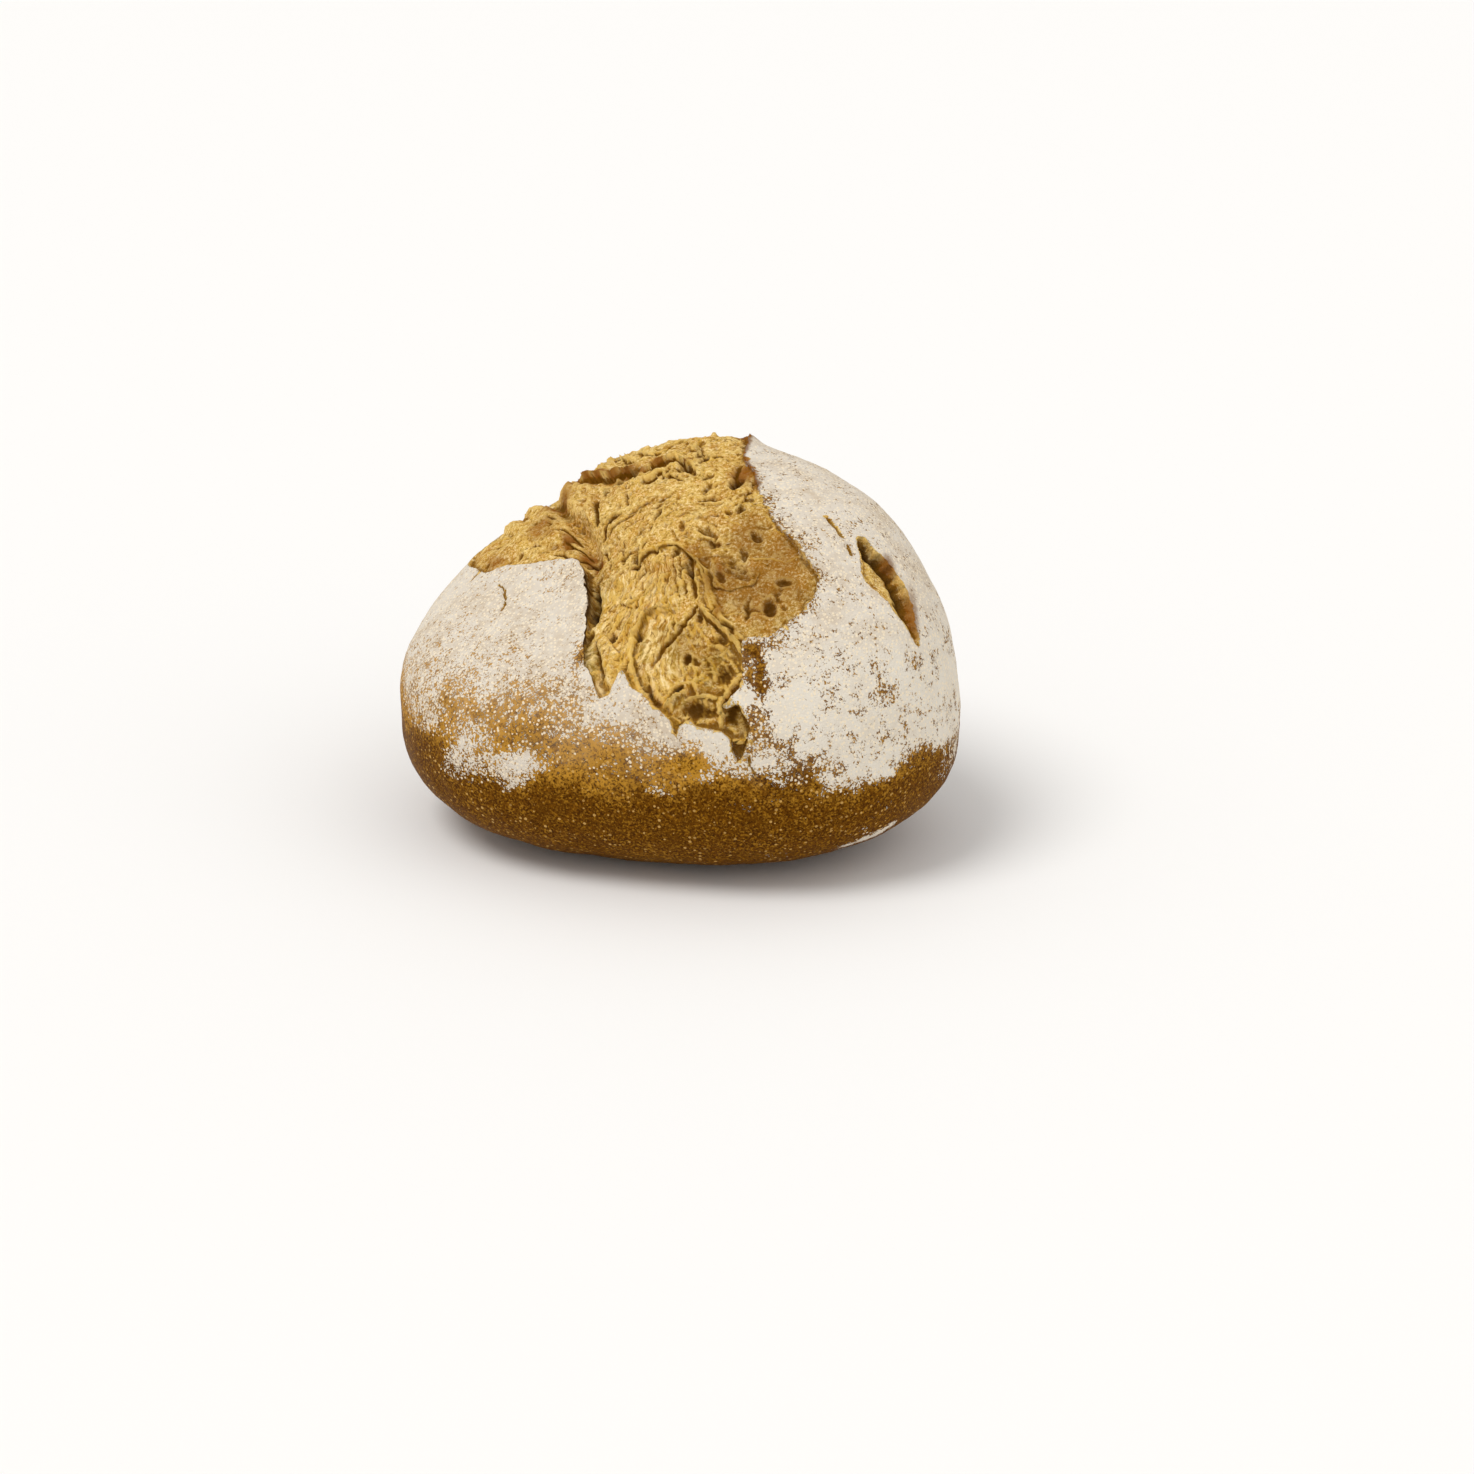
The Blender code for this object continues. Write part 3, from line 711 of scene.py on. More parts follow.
texture = np.zeros(len(tear_near))
for index, (width, stretch, relief_height) in enumerate(FIBRES):
    fan = np.column_stack((across / width, along / (width * stretch)))
    plain = uneven(near_places, width, 20.0 + index)
    fibre = combed * uneven(fan, 1, 30.0 + index) + (1 - combed) * plain
    strength = FIBRE_LEAST + (1 - FIBRE_LEAST) * curtain
    texture += relief_height * strength * rough * (1 - FIBRE_SHARPNESS * np.abs(fibre))
for index, (size, relief_height) in enumerate(LUMPS):
    least = rough if size > 1 else 1
    lumps = (1 + LUMPS_UP_HIGH * high_up) * uneven(near_places, size, 40.0 + index)
    texture += relief_height * least * lumps
crags = np.clip(uneven(near_places, CROWN_CRAG_SIZE, 47.0) - CROWN_CRAG_FROM, 0, 1) ** CROWN_CRAG_POWER
texture += CROWN_CRAG_HEIGHT * high_up * crags
print("fibre relief from", texture.min(), "to", texture.max(), "mm")

# %% [markdown]
# ## Peels
#
# The crumb tore in layers, like a pastry. Each layer ends in a low curved step: proud on one side,
# cut back on the other. Scattered over the crown and the shoulder, these one-sided steps look far
# more like torn bread than ridges would, which are alike on both sides.

# %% Scatter the peels
PEELS = 75
PEEL_RISE = (0.2, 0.8)
PEEL_DROP = (0.3, 1.0)
PEEL_REACH = (1.0, 2.6)
PEEL_MARK = 0.8
PEEL_STEPS = (3, 9)
PEEL_STRIDE = 1.4
PEEL_TURNS = (0.0, 0.0, 1.4, -1.4)
PEEL_LEAN = 0.5
PEELS_UP_HIGH = 0.8
SWERVE = 0.3
SWERVE_EACH_STEP = 0.2
SWERVE_ON_THE_RIGHT = 1.2
RIGHT_HAND_FROM = 8

rng = np.random.default_rng(11)
thread_tops = np.zeros(len(tear_near))


def wander(start, steps, stride, turned=0.0):
    """A path that starts at a spot and follows the fan, or runs across it, swerving a little."""
    path = [np.array(start)]
    offset = path[0] - fan_origin(path[0][None])[0]
    swerve = rng.normal(0, SWERVE)
    if start[0] > RIGHT_HAND_FROM:
        swerve += rng.uniform(-SWERVE_ON_THE_RIGHT, SWERVE_ON_THE_RIGHT)
    heading = math.atan2(offset[1], offset[0]) + swerve + turned
    for _ in range(steps):
        heading += rng.normal(0, SWERVE_EACH_STEP)
        path.append(path[-1] + stride * np.array((math.cos(heading), math.sin(heading))))
    return path


def near_path(path, reach):
    """Indices of the tear's corners within a box round a path."""
    low, high = np.min(path, axis=0) - reach, np.max(path, axis=0) + reach
    return np.flatnonzero(((near_places > low) & (near_places < high)).all(axis=1))


for start in rng.choice(len(near_places), PEELS, p=rough / rough.sum()):
    turned = rng.choice(PEEL_TURNS)
    path = wander(near_places[start], rng.integers(*PEEL_STEPS), PEEL_STRIDE, turned)
    reach = rng.uniform(*PEEL_REACH)
    close = near_path(path, 3 * reach)
    step, lean, under, top = sheet_edge(near_places[close], path, rng.uniform(*PEEL_RISE),
                                        rng.uniform(*PEEL_DROP), reach)
    texture[close] += step * rough[close] * (1 + PEELS_UP_HIGH * high_up[close])
    close_corners = tear_near[close]
    lean_over[close_corners] += PEEL_LEAN * lean
    # The crevice under each peel gets painted shade too.
    crevice_shades[close_corners] = np.maximum(crevice_shades[close_corners], PEEL_MARK * under)
    edge_tops[close_corners] = np.maximum(edge_tops[close_corners], PEEL_MARK * top)
print("crumb relief from", texture.min(), "to", texture.max(), "mm")

# %% [markdown]
# ## Threads
#
# Between the layers, single threads of gluten were pulled out and dried: thin, long, and paler than
# the rest. Most start somewhere in the tear and wander along the fan. Where the dough was stretched
# hardest they ran together into bundles: along the curtain's edge, down the rope on the right, and
# round the basket low in the bowl. Between them lie short grooves, and longer ones run down from
# the lip.

# %% Pull threads and open grooves
THREADS = 210
THREADS_UP_HIGH = 0.22
THREAD_HALF_WIDTH = (0.2, 0.36)
THREAD_HEIGHT = (0.35, 0.85)
THREAD_STEPS = (3, 10)
THREAD_STRIDE = 1.3
STRETCHED_MOST_BELOW = (-6, 12)
LESS_STRETCHED_RIGHT = 1.2
BUNDLE_SHIFT = 0.6
BUNDLE_LOOSE = 0.3
BUNDLE_HALF_WIDTH = (0.2, 0.32)
BUNDLE_HEIGHT = (0.7, 1.2)
BUNDLES = (
    (((2.7, -0.8), (-3.7, -2), (-7.2, -6.3), (-9.4, -12.5), (-9.6, -18.9), (-7.6, -24.1), (-2, -30.3)),
     6, 0.9, 0.7),
    (((-8.5, -24), (-4, -29), (0.4, -32), (3, -33.9)), 4, 0.6, 0.9),
    (((2.3, 10.8), (-2.6, 7), (-7.1, 2), (-12.2, -1.7), (-16.3, -8.2), (-19.2, -13.7)), 4, 0.8, 0.8),
    (((4.8, 7.3), (0.7, 2.7), (-5, -2.8), (-9.5, -7.7), (-11.5, -13.8)), 4, 0.9, 0.7),
    (((6, 14), *STRANDS["outer_rope"][0]), 5, 0.7, 0.9),
    (STRANDS["inner_rope"][0][:-1], 5, 0.6, 0.9),
    (((15.2, -21), *STRANDS["basket_post"][0]), 4, 0.5, 1.0),
    (STRANDS["basket_rim"][0], 3, 0.5, 0.9),
    (STRANDS["basket_bow"][0], 3, 0.45, 1.0),
    (((0.2, -27.3), (1.2, -31.3), (4.8, -33.7)), 2, 0.35, 0.9),
    (((-1.8, -30.3), (0, -33.1), (3, -34.9)), 3, 0.4, 0.9),
    (((8.2, -26.5), (7.8, -28.2), (6.3, -32)), 2, 0.35, 0.9),
    (((11.5, 8.5), (18.7, 7), (19.2, 0.5), (12.5, 0)), 1, 0.2, 0.6),
    (((12.5, -34), (14, -36), (16.5, -35.5), (17.5, -33.5)), 3, 0.5, 1.0),
    (((-4, 12), (-0.7, 17.5), (3, 16.5), (6.7, 13.3), (9, 9)), 2, 0.3, 0.6),
    (((6, 9), (9, 5), (10, 0)), 3, 0.8, 0.7),
)
GROOVES = 60
GROOVE_DEPTH = (0.5, 1.3)
GROOVE_HALF_WIDTH = (0.25, 0.45)
GROOVE_STEPS = (2, 6)
GROOVE_STRIDE = 1.2
LIP_GROOVE_HALF_WIDTH = 0.3
LIP_GROOVE_DEPTH = 1.1
LIP_GROOVES = (
    ((-0.5, 16), (0, 10), (0.5, 3)), ((1.5, 15.5), (2, 9), (2.6, 1)), ((0.8, 12), (-0.5, 6), (-3, -1)),
    ((-2.5, 13), (-3.5, 7), (-6.5, -1)), ((3.5, 14), (3.8, 8), (4.5, 2)), ((-1.5, 9), (-4, 3), (-8.5, -7)),
    ((-5, 8), (-7.5, 2), (-12, -6)), ((-8, 4), (-11, -3), (-15, -12)), ((-10.5, 8), (-14, 1), (-18, -9)),
    ((-6, -2), (-10, -9), (-13.5, -19)), ((-13, -6), (-16, -13), (-17, -20)),
)


def lay(path, half_width, relief_height):
    """Add one thread, or a groove where the height is negative."""
    close = near_path(path, 3 * half_width)
    if len(close) == 0:
        return
    ridge = strand(near_places[close], path, half_width, 1.0)
    texture[close] += relief_height * ridge
    if relief_height > 0:
        thread_tops[close] = np.maximum(thread_tops[close], ridge)


far_right = np.clip(near_u - RIGHT_HAND_FROM, 0, None)
stretched_most = 1 - smooth_step(near_v + LESS_STRETCHED_RIGHT * far_right, *STRETCHED_MOST_BELOW)
start_share = (THREADS_UP_HIGH + (1 - THREADS_UP_HIGH) * stretched_most) * rough
starts = rng.choice(len(near_places), THREADS, p=start_share / start_share.sum())
for start in starts:
    thread = wander(near_places[start], rng.integers(*THREAD_STEPS), THREAD_STRIDE)
    lay(thread, rng.uniform(*THREAD_HALF_WIDTH), rng.uniform(*THREAD_HEIGHT))
for path, count, spread, relief_height in BUNDLES:
    for _ in range(count):
        shift = rng.normal(0, BUNDLE_SHIFT * spread, 2)
        loose = np.array(path) + shift + rng.normal(0, BUNDLE_LOOSE * spread, (len(path), 2))
        lay(loose, rng.uniform(*BUNDLE_HALF_WIDTH), relief_height * rng.uniform(*BUNDLE_HEIGHT))
for start in rng.choice(len(near_places), GROOVES, p=rough ** 2 / (rough ** 2).sum()):
    groove = wander(near_places[start], rng.integers(*GROOVE_STEPS), GROOVE_STRIDE)
    lay(groove, rng.uniform(*GROOVE_HALF_WIDTH), -rng.uniform(*GROOVE_DEPTH))
for groove in LIP_GROOVES:
    lay(groove, LIP_GROOVE_HALF_WIDTH, -LIP_GROOVE_DEPTH)
print("thread tops cover", (thread_tops > 0.5).mean())

# %% [markdown]
# ## The web in the bowl
#
# Where a patch of small bubbles burst side by side, their walls stay behind as a web. It's laid as
# the borders between scattered cells, on places that are shaken first, so that no wall runs straight.

# %% Spin the web
WEB_PLACE = (11.5, -17.5)
WEB_SPREAD = (4, 6)
WEB_LEAST = 0.04
WEB_FADES_OVER = (0.15, 0.7)
WEB_CELL = 2.3
WEB_WALL = 0.12
WEB_SHAKEN = 1.1
WEB_SHAKEN_SIZE = 2.4
WEB_SEEDS = (81.0, 87.0)
WEB_PATTERN = 4.0
WEB_DEPTH = 0.9
WEB_WALL_RISE = 1.1
WEB_CELL_DROP = 0.8


def web(spots, cell, seed):
    """How near each spot is to a wall between scattered cells, from 0 to 1."""
    gaps = []
    for u, v in spots:
        distances = noise.voronoi(Vector((u / cell, v / cell, seed)))[0]
        gaps.append(distances[1] - distances[0])
    return np.exp(-(np.array(gaps) / WEB_WALL) ** 2)


web_share = np.exp(-(((near_places - WEB_PLACE) / WEB_SPREAD) ** 2).sum(axis=1))
web_close = np.flatnonzero(web_share > WEB_LEAST)
web_spots = near_places[web_close]
web_shake = [WEB_SHAKEN * uneven(web_spots, WEB_SHAKEN_SIZE, seed) for seed in WEB_SEEDS]
web_walls = web(web_spots + np.column_stack(web_shake), WEB_CELL, WEB_PATTERN)
web_share = smooth_step(web_share[web_close], *WEB_FADES_OVER)
texture[web_close] += web_share * WEB_DEPTH * (WEB_WALL_RISE * web_walls - WEB_CELL_DROP)
thread_tops[web_close] = np.maximum(thread_tops[web_close], web_share * web_walls)
print("share of the web that is wall", (web_walls > 0.5).mean())

# %% [markdown]
# ## Bubbles
#
# Gas left small round pits, stretched along the fibres where the crumb was pulled. Most are under
# three millimetres wide. Their rims stand up a little, because the bubble's skin dried as a ring.

# %% Pit the crumb with small bubbles
SMALL_BUBBLES = 330
SMALL_HALF_WIDTH = (0.35, 0.8)
SMALL_STRETCH = (1.1, 1.4)
SMALL_DEPTH = (0.6, 0.9)
SMALL_TURN = 25

# Each corner's pit depth is kept for painted shade in the pits.
pit_shade_depths = np.zeros(len(tear_near))
for _ in range(SMALL_BUBBLES):
    middle = near_places[rng.integers(len(near_places))]
    half_width = SMALL_HALF_WIDTH[0] + SMALL_HALF_WIDTH[1] * rng.random() ** 3
    half_length = half_width * (SMALL_STRETCH[0] + SMALL_STRETCH[1] * rng.random())
    offset = middle - fan_origin(middle[None])[0]
    turn = math.degrees(math.atan2(offset[1], offset[0])) + rng.normal(0, SMALL_TURN)
    close = near_path([middle], 3 * half_length)
    depth = (SMALL_DEPTH[0] + SMALL_DEPTH[1] * rng.random()) * half_width * MM_PER_DEGREE
    dent = bubble(near_places[close], *middle, half_length, half_width, turn, depth)
    texture[close] += dent
    pit_shade_depths[close] = np.maximum(pit_shade_depths[close], -dent)
for hollow in BUBBLES:
    close = near_path([hollow[:2]], 3 * hollow[2])
    pit_shade_depths[close] = np.maximum(pit_shade_depths[close], -bubble(near_places[close], *hollow))
crumb[tear_near] += texture
print("crumb relief from", texture.min(), "to", texture.max(), "mm")

# %% [markdown]
# ## The crust
#
# Crust is smooth where flour kept it dry, with slow swells and fine pimples. It lifts into a lip
# where the tear opened, most of all in the ear at the back right. Small cracks opened on the flanks.

# %% Raise the crust's own relief
CRUST_LIP = 1.0
CRUST_LIP_REACH = 3.5
EARS = ((24, 58, 9, 2.6), (23.8, 63, 4.5, 0.9))
CRUST_LUMPS = ((24 * MM, 0.8), (9 * MM, 0.3), (3.2 * MM, 0.16), (1.6 * MM, 0.07))

plain_points = plain_body(directions_on_map(places))
crust = CRUST_LIP * np.exp(-away / CRUST_LIP_REACH)
for u, v, spread, rise in EARS:
    ear = np.exp(-((places - (u, v)) ** 2).sum(axis=1) / spread ** 2)
    crust += rise * ear * np.exp(-away / CRUST_LIP_REACH)
for size, relief_height in CRUST_LUMPS:
    crust += relief_height * uneven(plain_points, size)
print("crust stands from", crust.min(), "to", crust.max(), "mm")

# %% [markdown]
# ## The burst on the right flank
#
# One of the cracks burst open. Its right side stands up as a lip over a dark cleft, and from there
# the crumb rises to meet the crust on the left. The other cracks are only narrow valleys.

# %% Open the burst and the cracks
CRACKS = {
    "right_crack": (((35.5, 20), (37.5, 16), (38.4, 13)), 0.5, -1.8),
    "right_crack_end": (((38.6, 12), (39.6, 8.6)), 0.35, -1.2),
    "left_crack": (((-58.4, 24.4), (-55.5, 20), (-53.4, 13), (-53.4, 8.5)), 0.45, -1.4),
    "left_slit": (((-65, 34), (-68.5, 30.3)), 0.5, -1.5),
    "tip_crack": (((18, -38), (19, -41), (20.5, -44)), 0.4, -1.2),
}
SIDE_BURST_LIP = SIDE_BURST_EDGE[:6]
SIDE_BURST_LEAST = 0.7
SIDE_BURST_DEPTH = 4.6
SIDE_BURST_DEEP_REACH = 2.6
SIDE_BURST_LUMPS = (0.9, 1.4, 60.0)
SIDE_BURST_LIP_RISE = 0.8
SIDE_BURST_LIP_REACH = 3
SIDE_BURST_CLIFF = (-0.15, 0.5)

_, burst_away, _, _ = nearest_on_curve(shaken, burst_curve, closed=True)
_, lip_away, _, _ = nearest_on_curve(shaken, rounded(SIDE_BURST_LIP))
burst_in = np.where(inside_outline(shaken, burst_curve), burst_away, -burst_away)
burst_floor = SIDE_BURST_LEAST + SIDE_BURST_DEPTH * np.exp(-(lip_away / SIDE_BURST_DEEP_REACH) ** 2)
burst_floor += lumpy(shaken, *SIDE_BURST_LUMPS)
crust += SIDE_BURST_LIP_RISE * np.exp(-lip_away / SIDE_BURST_LIP_REACH) * (burst_in < 0)
crust -= burst_floor * smooth_step(burst_in, *SIDE_BURST_CLIFF)
cracked = np.zeros(len(places))
for crack in CRACKS.values():
    opening = strand(shaken, *crack)
    crust += opening
    cracked = np.maximum(cracked, -opening)
print("burst is", (burst_floor * (burst_in > 0)).max(), "mm deep, the cracks", cracked.max())

# %% [markdown]
# ## Put the skin together
#
# Crust and crumb meet in a steep step. The crust's edge leans over it and the step's foot goes back
# under, so the gap at the left gets a real shadow. Then every corner moves out along the plain
# body's normal, and the foot of the loaf is pressed flat.

# %% Move the corners
CLIFF = (-0.05, 0.6)
EDGE_LEAN = 0.35
LEFT_EDGE_LEAN = 0.9
LEFT_EDGE_FROM = (17, 22)
LEFT_EDGE_BELOW = (-24, -18)
LEANS_WITHIN = 1.3
FOOT_LEAN = 0.8
FOOT_LEANS_WITHIN = 0.7

torn = smooth_step(depth_in, *CLIFF)
height = torn * crumb + (1 - torn) * crust
left_edge = smooth_step(-places[:, 0], *LEFT_EDGE_FROM) * smooth_step(-places[:, 1], *LEFT_EDGE_BELOW)
edge_lean = EDGE_LEAN + (LEFT_EDGE_LEAN - EDGE_LEAN) * left_edge
lean_in = np.exp(-(np.minimum(depth_in, 0) / LEANS_WITHIN) ** 2) * (1 - torn)
lean_in -= FOOT_LEAN * torn * np.exp(-away / FOOT_LEANS_WITHIN)
moved_places = places + torn[:, None] * lean_over + inwards * (edge_lean * lean_in)[:, None]
moved = directions_on_map(moved_places)
points = plain_body(moved) + outward_normals(moved) * (height * MM)[:, None]
points[:, 2] = np.maximum(points[:, 2], 0)
points[:, :2] -= (points[:, :2].min(axis=0) + points[:, :2].max(axis=0)) / 2
points[:, :2] += (loaf_low[:2] + loaf_high[:2]) / 2

for vert, point in zip(ball.verts, points):
    vert.co = point
bmesh.ops.recalc_face_normals(ball, faces=ball.faces[:])
skin_mesh = bpy.data.meshes.new("loaf_skin")
ball.to_mesh(skin_mesh)
ball.free()
skin_mesh.shade_smooth()
skin = bpy.data.objects.new("loaf_skin", skin_mesh)
bpy.context.scene.collection.objects.link(skin)
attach(skin, "root")
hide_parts("loaf")
print("skin triangles", 2 * len(skin_mesh.polygons))

# %% [markdown]
# ## Hollows
#
# In soft light a hollow looks darker because less sky reaches it. That shade is painted into the
# crumb's colour, and crumb that stands above its surroundings gets a paler painted highlight. Hollows
# are found by comparing each corner's height with the mean height around it, once over a narrow ring
# for the fine pits and once over a wide one for the gaps.

# %% Find the hollows
NARROW_ROUNDS = 6
WIDE_ROUNDS = 70

link_ends = np.empty(2 * len(skin_mesh.edges), int)
skin_mesh.edges.foreach_get("vertices", link_ends)
first_ends, second_ends = link_ends.reshape(-1, 2).T
link_count = np.bincount(link_ends, minlength=len(points))


def averaged(values, rounds):
    """Each corner's value after so many rounds of mixing with its neighbours."""
    for _ in range(rounds):
        total = np.bincount(first_ends, values[second_ends], len(values))
        total += np.bincount(second_ends, values[first_ends], len(values))
        values = 0.5 * values + 0.5 * total / link_count
    return values


def keep(name, values):
    """Keep one number for each corner of the skin, for the material to read."""
    attribute = skin_mesh.attributes.new(name, "FLOAT", "POINT")
    attribute.data.foreach_set("value", np.asarray(values, np.float32))


fine_hollow_shading = averaged(height, NARROW_ROUNDS) - height
wide_hollow_shading = averaged(height, WIDE_ROUNDS) - height
keep("fine_hollow_shading", fine_hollow_shading)
keep("wide_hollow_shading", wide_hollow_shading)
print("fine hollows to", fine_hollow_shading.max(), "wide hollows to", wide_hollow_shading.max(), "mm")

# %% [markdown]
# ## Where the flour lies
#
# Flour was sieved over the dough, so it lies thick on top and thins out down the sides. The line
# where it ends is kept as heights round the loaf, in compass degrees from the right side. It ends
# sharply at the right front and in a long haze at the left. Here and there it was rubbed off, and
# some of it landed lower down, or stuck to the foot at the right where the loaf lay in it. A thin
# veil of it stays on the left even where the coat itself is worn.

# %% Lay down the flour
FLOUR_ENDS = (
    (-180, 52), (-160, 54), (-145, 56), (-125, 53), (-110, 50), (-90, 47), (-75, 44), (-60, 41),
    (-40, 42), (-20, 47), (0, 50), (40, 50), (90, 48), (140, 50), (180, 52),
)
FLOUR_HAZE = (
    (-180, 10), (-150, 18), (-120, 17), (-95, 11), (-80, 6), (-50, 5), (0, 6), (90, 8), (180, 10),
)
FLOUR_THICKEST = 1.25
FLOUR_THINNEST = -0.35
FLOUR_PATCHES = (0.15, 15 * MM, 6.0)
THIN_EDGE = 0.45
THIN_EDGE_REACH = 2.4
THIN_EDGE_PATCHES = (3.5, 66.0)
VEIL = 0.22
VEIL_LOST_RIGHT = 0.75
CHUNKY_FROM = (-10 * MM, 25 * MM)
CHUNKY_BELOW = (70 * MM, 105 * MM)
RUBBED_OFF = (
    (-23.5, -15, 2.4, 3.4, 1.1), (19, -15.8, 1.7, 1.8, 1.2), (20.5, -19.5, 1.2, 2.8, 1.15),
    (20.5, -24, 1.4, 2.4, 1.0), (18.3, -21, 0.8, 3, 0.9), (24, -14.5, 3, 1.8, 0.5),
    (19.5, -31, 2.5, 4, 0.4), (23, -34, 3, 4, 0.3), (36, -3, 5, 3, 0.16), (44.7, -20.2, 3, 4, 0.3),
    (29, -38, 5, 3, 0.4), (45, -35, 4, 4, 0.35), (52, -22, 4, 3, 0.2),
    (6, -42, 6, 2.4, 0.8), (15, -45, 5, 2, 0.4), (26, -42.5, 6, 2.4, 0.4), (34, -40, 4, 3, 0.25),
    (-50, -12, 12, 9, 0.12), (-38, -27, 12, 6, 0.4), (-14, -35, 8, 4, 0.35),
)
FLOUR_LUMP_SIZES = ((24, 5), (11, 4), (5, 2))
DUSTED = (
    (-64, -22.8, 4, 3, 0.5), (-57.5, -34.5, 7.5, 5, 0.9), (-45, -39, 8, 4, 0.9), (-36, -40.6, 5, 3, 0.7),
    (-43, -44, 4, 2, 0.6), (-3, -49, 5, 2, 0.5), (9.6, -44.4, 5, 2, 0.5), (-50, -30, 8, 4, 0.3),
    (-68, -18, 9, 9, 0.4), (71, -26, 7, 6, 0.8), (47, -37, 5, 3, 0.4), (25, -42.5, 4, 1.6, 0.4),
    (36, -41.7, 5, 2.5, 0.6), (50, -52, 8, 3, 0.3), (-20, -44, 8, 3, 0.25),
)
FOOT_FLOUR = (
    (59, -74, 14, 3, 1.2), (64, -72.5, 15, 3, 1.3), (69, -70.5, 17, 3, 1.3), (74, -69, 19, 3, 1.1),
)

around = np.degrees(np.arctan2(points[:, 1], points[:, 0]))
line = np.interp(around, *np.array(FLOUR_ENDS).T) * MM
haze = np.interp(around, *np.array(FLOUR_HAZE).T) * MM
for size, amount in FLOUR_LUMP_SIZES:
    line += amount * MM * uneven(plain_points, size * MM, 2.0 + size)
flour = FLOUR_THICKEST * smooth_step(points[:, 2] - line, -haze, 1.6 * haze) + FLOUR_THINNEST
for *spot, loss in RUBBED_OFF:
    flour -= loss * around_spots(shaken, spot)
veil_lost = VEIL_LOST_RIGHT * smooth_step(points[:, 0], -15 * MM, 20 * MM)
veil = VEIL * smooth_step(flour, FLOUR_THINNEST, 0.7) * (1 - veil_lost)
for *spot, gain in DUSTED:
    flour += gain * around_spots(shaken, spot)
for x, y, z, spread, gain in FOOT_FLOUR:
    off = (((points - np.array((x, y, z)) * MM) / (spread * MM)) ** 2).sum(axis=1)
    flour += gain * np.exp(-off)
flour += lumpy(plain_points, *FLOUR_PATCHES)
beside_tear = smooth_step(places[:, 0], 13, 18) * smooth_step(-places[:, 1], -46, -36)
thin_edge = THIN_EDGE * np.exp(-(away / THIN_EDGE_REACH) ** 2) * beside_tear
flour -= thin_edge * (0.6 + uneven(shaken, *THIN_EDGE_PATCHES))
chunky = smooth_step(points[:, 0], *CHUNKY_FROM) * (1 - smooth_step(points[:, 2], *CHUNKY_BELOW))
keep("flour", np.clip(flour, -0.4, 1))
keep("chunky", chunky)
keep("veil", veil)
print("mean flour cover", flour.mean())

# %% [markdown]
# ## How dark it baked
#
# Low down, where no flour shields it, the crust baked to a deep brown. Just below the flour it stayed
# golden. Edges that stick up scorched first: the ear, the crust's rim beside it, and the peeled flake
# at the crown's left. The crumb on the right of the lip, which lay open longest, toasted to a dull
# brown. The bowl, which opened last, stayed greyer, and the same olive tone is painted shade in the
# recesses beside the arch, in the crevice at the left and under the lip.

# %% Mark the baked tones
TOASTED = ((14, 4, 6, 8), (22, 0, 10, 10), (9, 12, 3, 5), (26, 8, 6, 9), (20, 15, 5, 8))
HALF_TOASTED = ((3, -13, 5, 7), (10, -16, 6, 9))
SCORCHED = (
    (-32, 72, 4, 3), (-27, 66.3, 3, 2), (-22, 64.4, 4, 2), (-17.5, 61.5, 4, 1.8), (-12.5, 61.2, 4, 1.8),
    (-9, 57.6, 3, 1.6), (-40, 66, 7, 7),
    (20, 40, 3, 6), (24, 64, 3, 5), (-2, 60, 4, 1), (7, 52, 3, 1),
    (-26, 27, 2.5, 4), (-30, 32, 3, 3), (-36, 40, 3, 5),
)
HALF_SCORCHED = (
    (-45, 50, 9, 12), (-30, 34, 5, 4), (-62, 40, 6, 8), (10, 3, 1.2, 5), (12, -5, 1.2, 4),
    (15.5, -11, 1.5, 2.5), (13, 6, 1, 5), (5, 15, 3, 1),
)
BURST_SCORCHED = ((51, -2, 2, 8), (47, 8, 2, 5))
# Olive places: the bowl's greyer crumb, and painted shade beside the arch, at the left and under the lip.
OLIVE_AND_SHADED = (
    (11, -18, 4, 6), (5, -29, 7, 4), (14.5, -30, 3, 5), (-2, -9, 2.4, 5), (-6.5, -14, 1.6, 6),
    (-21, -16, 3, 8), (3, 8, 2, 5),
)
HALF_OLIVE_AND_SHADED = ((3, -14, 6, 8), (10, -24, 6, 6))
BROWN_BESIDE_BOWL = ((-23.5, -15, 3, 4), (20, -18, 5, 8), (24, -14.5, 5, 4))
TOAST_LUMPS = (0.3, 8, 70.0)
SCORCH_LUMPS = (0.25, 5, 75.0)
BROWN_LUMPS = (0.25, 20 * MM, 12.0)
RIM_WIDTH = 0.9
RIM_FROM = (24, 34)
RIM_RIGHT_OF = (14, 18)


def most_of(*groups):
    """The greatest of several groups' shares; each group is a strength and its places."""
    return np.max([strength * around_spots(shaken, *spots) for strength, spots in groups], axis=0)


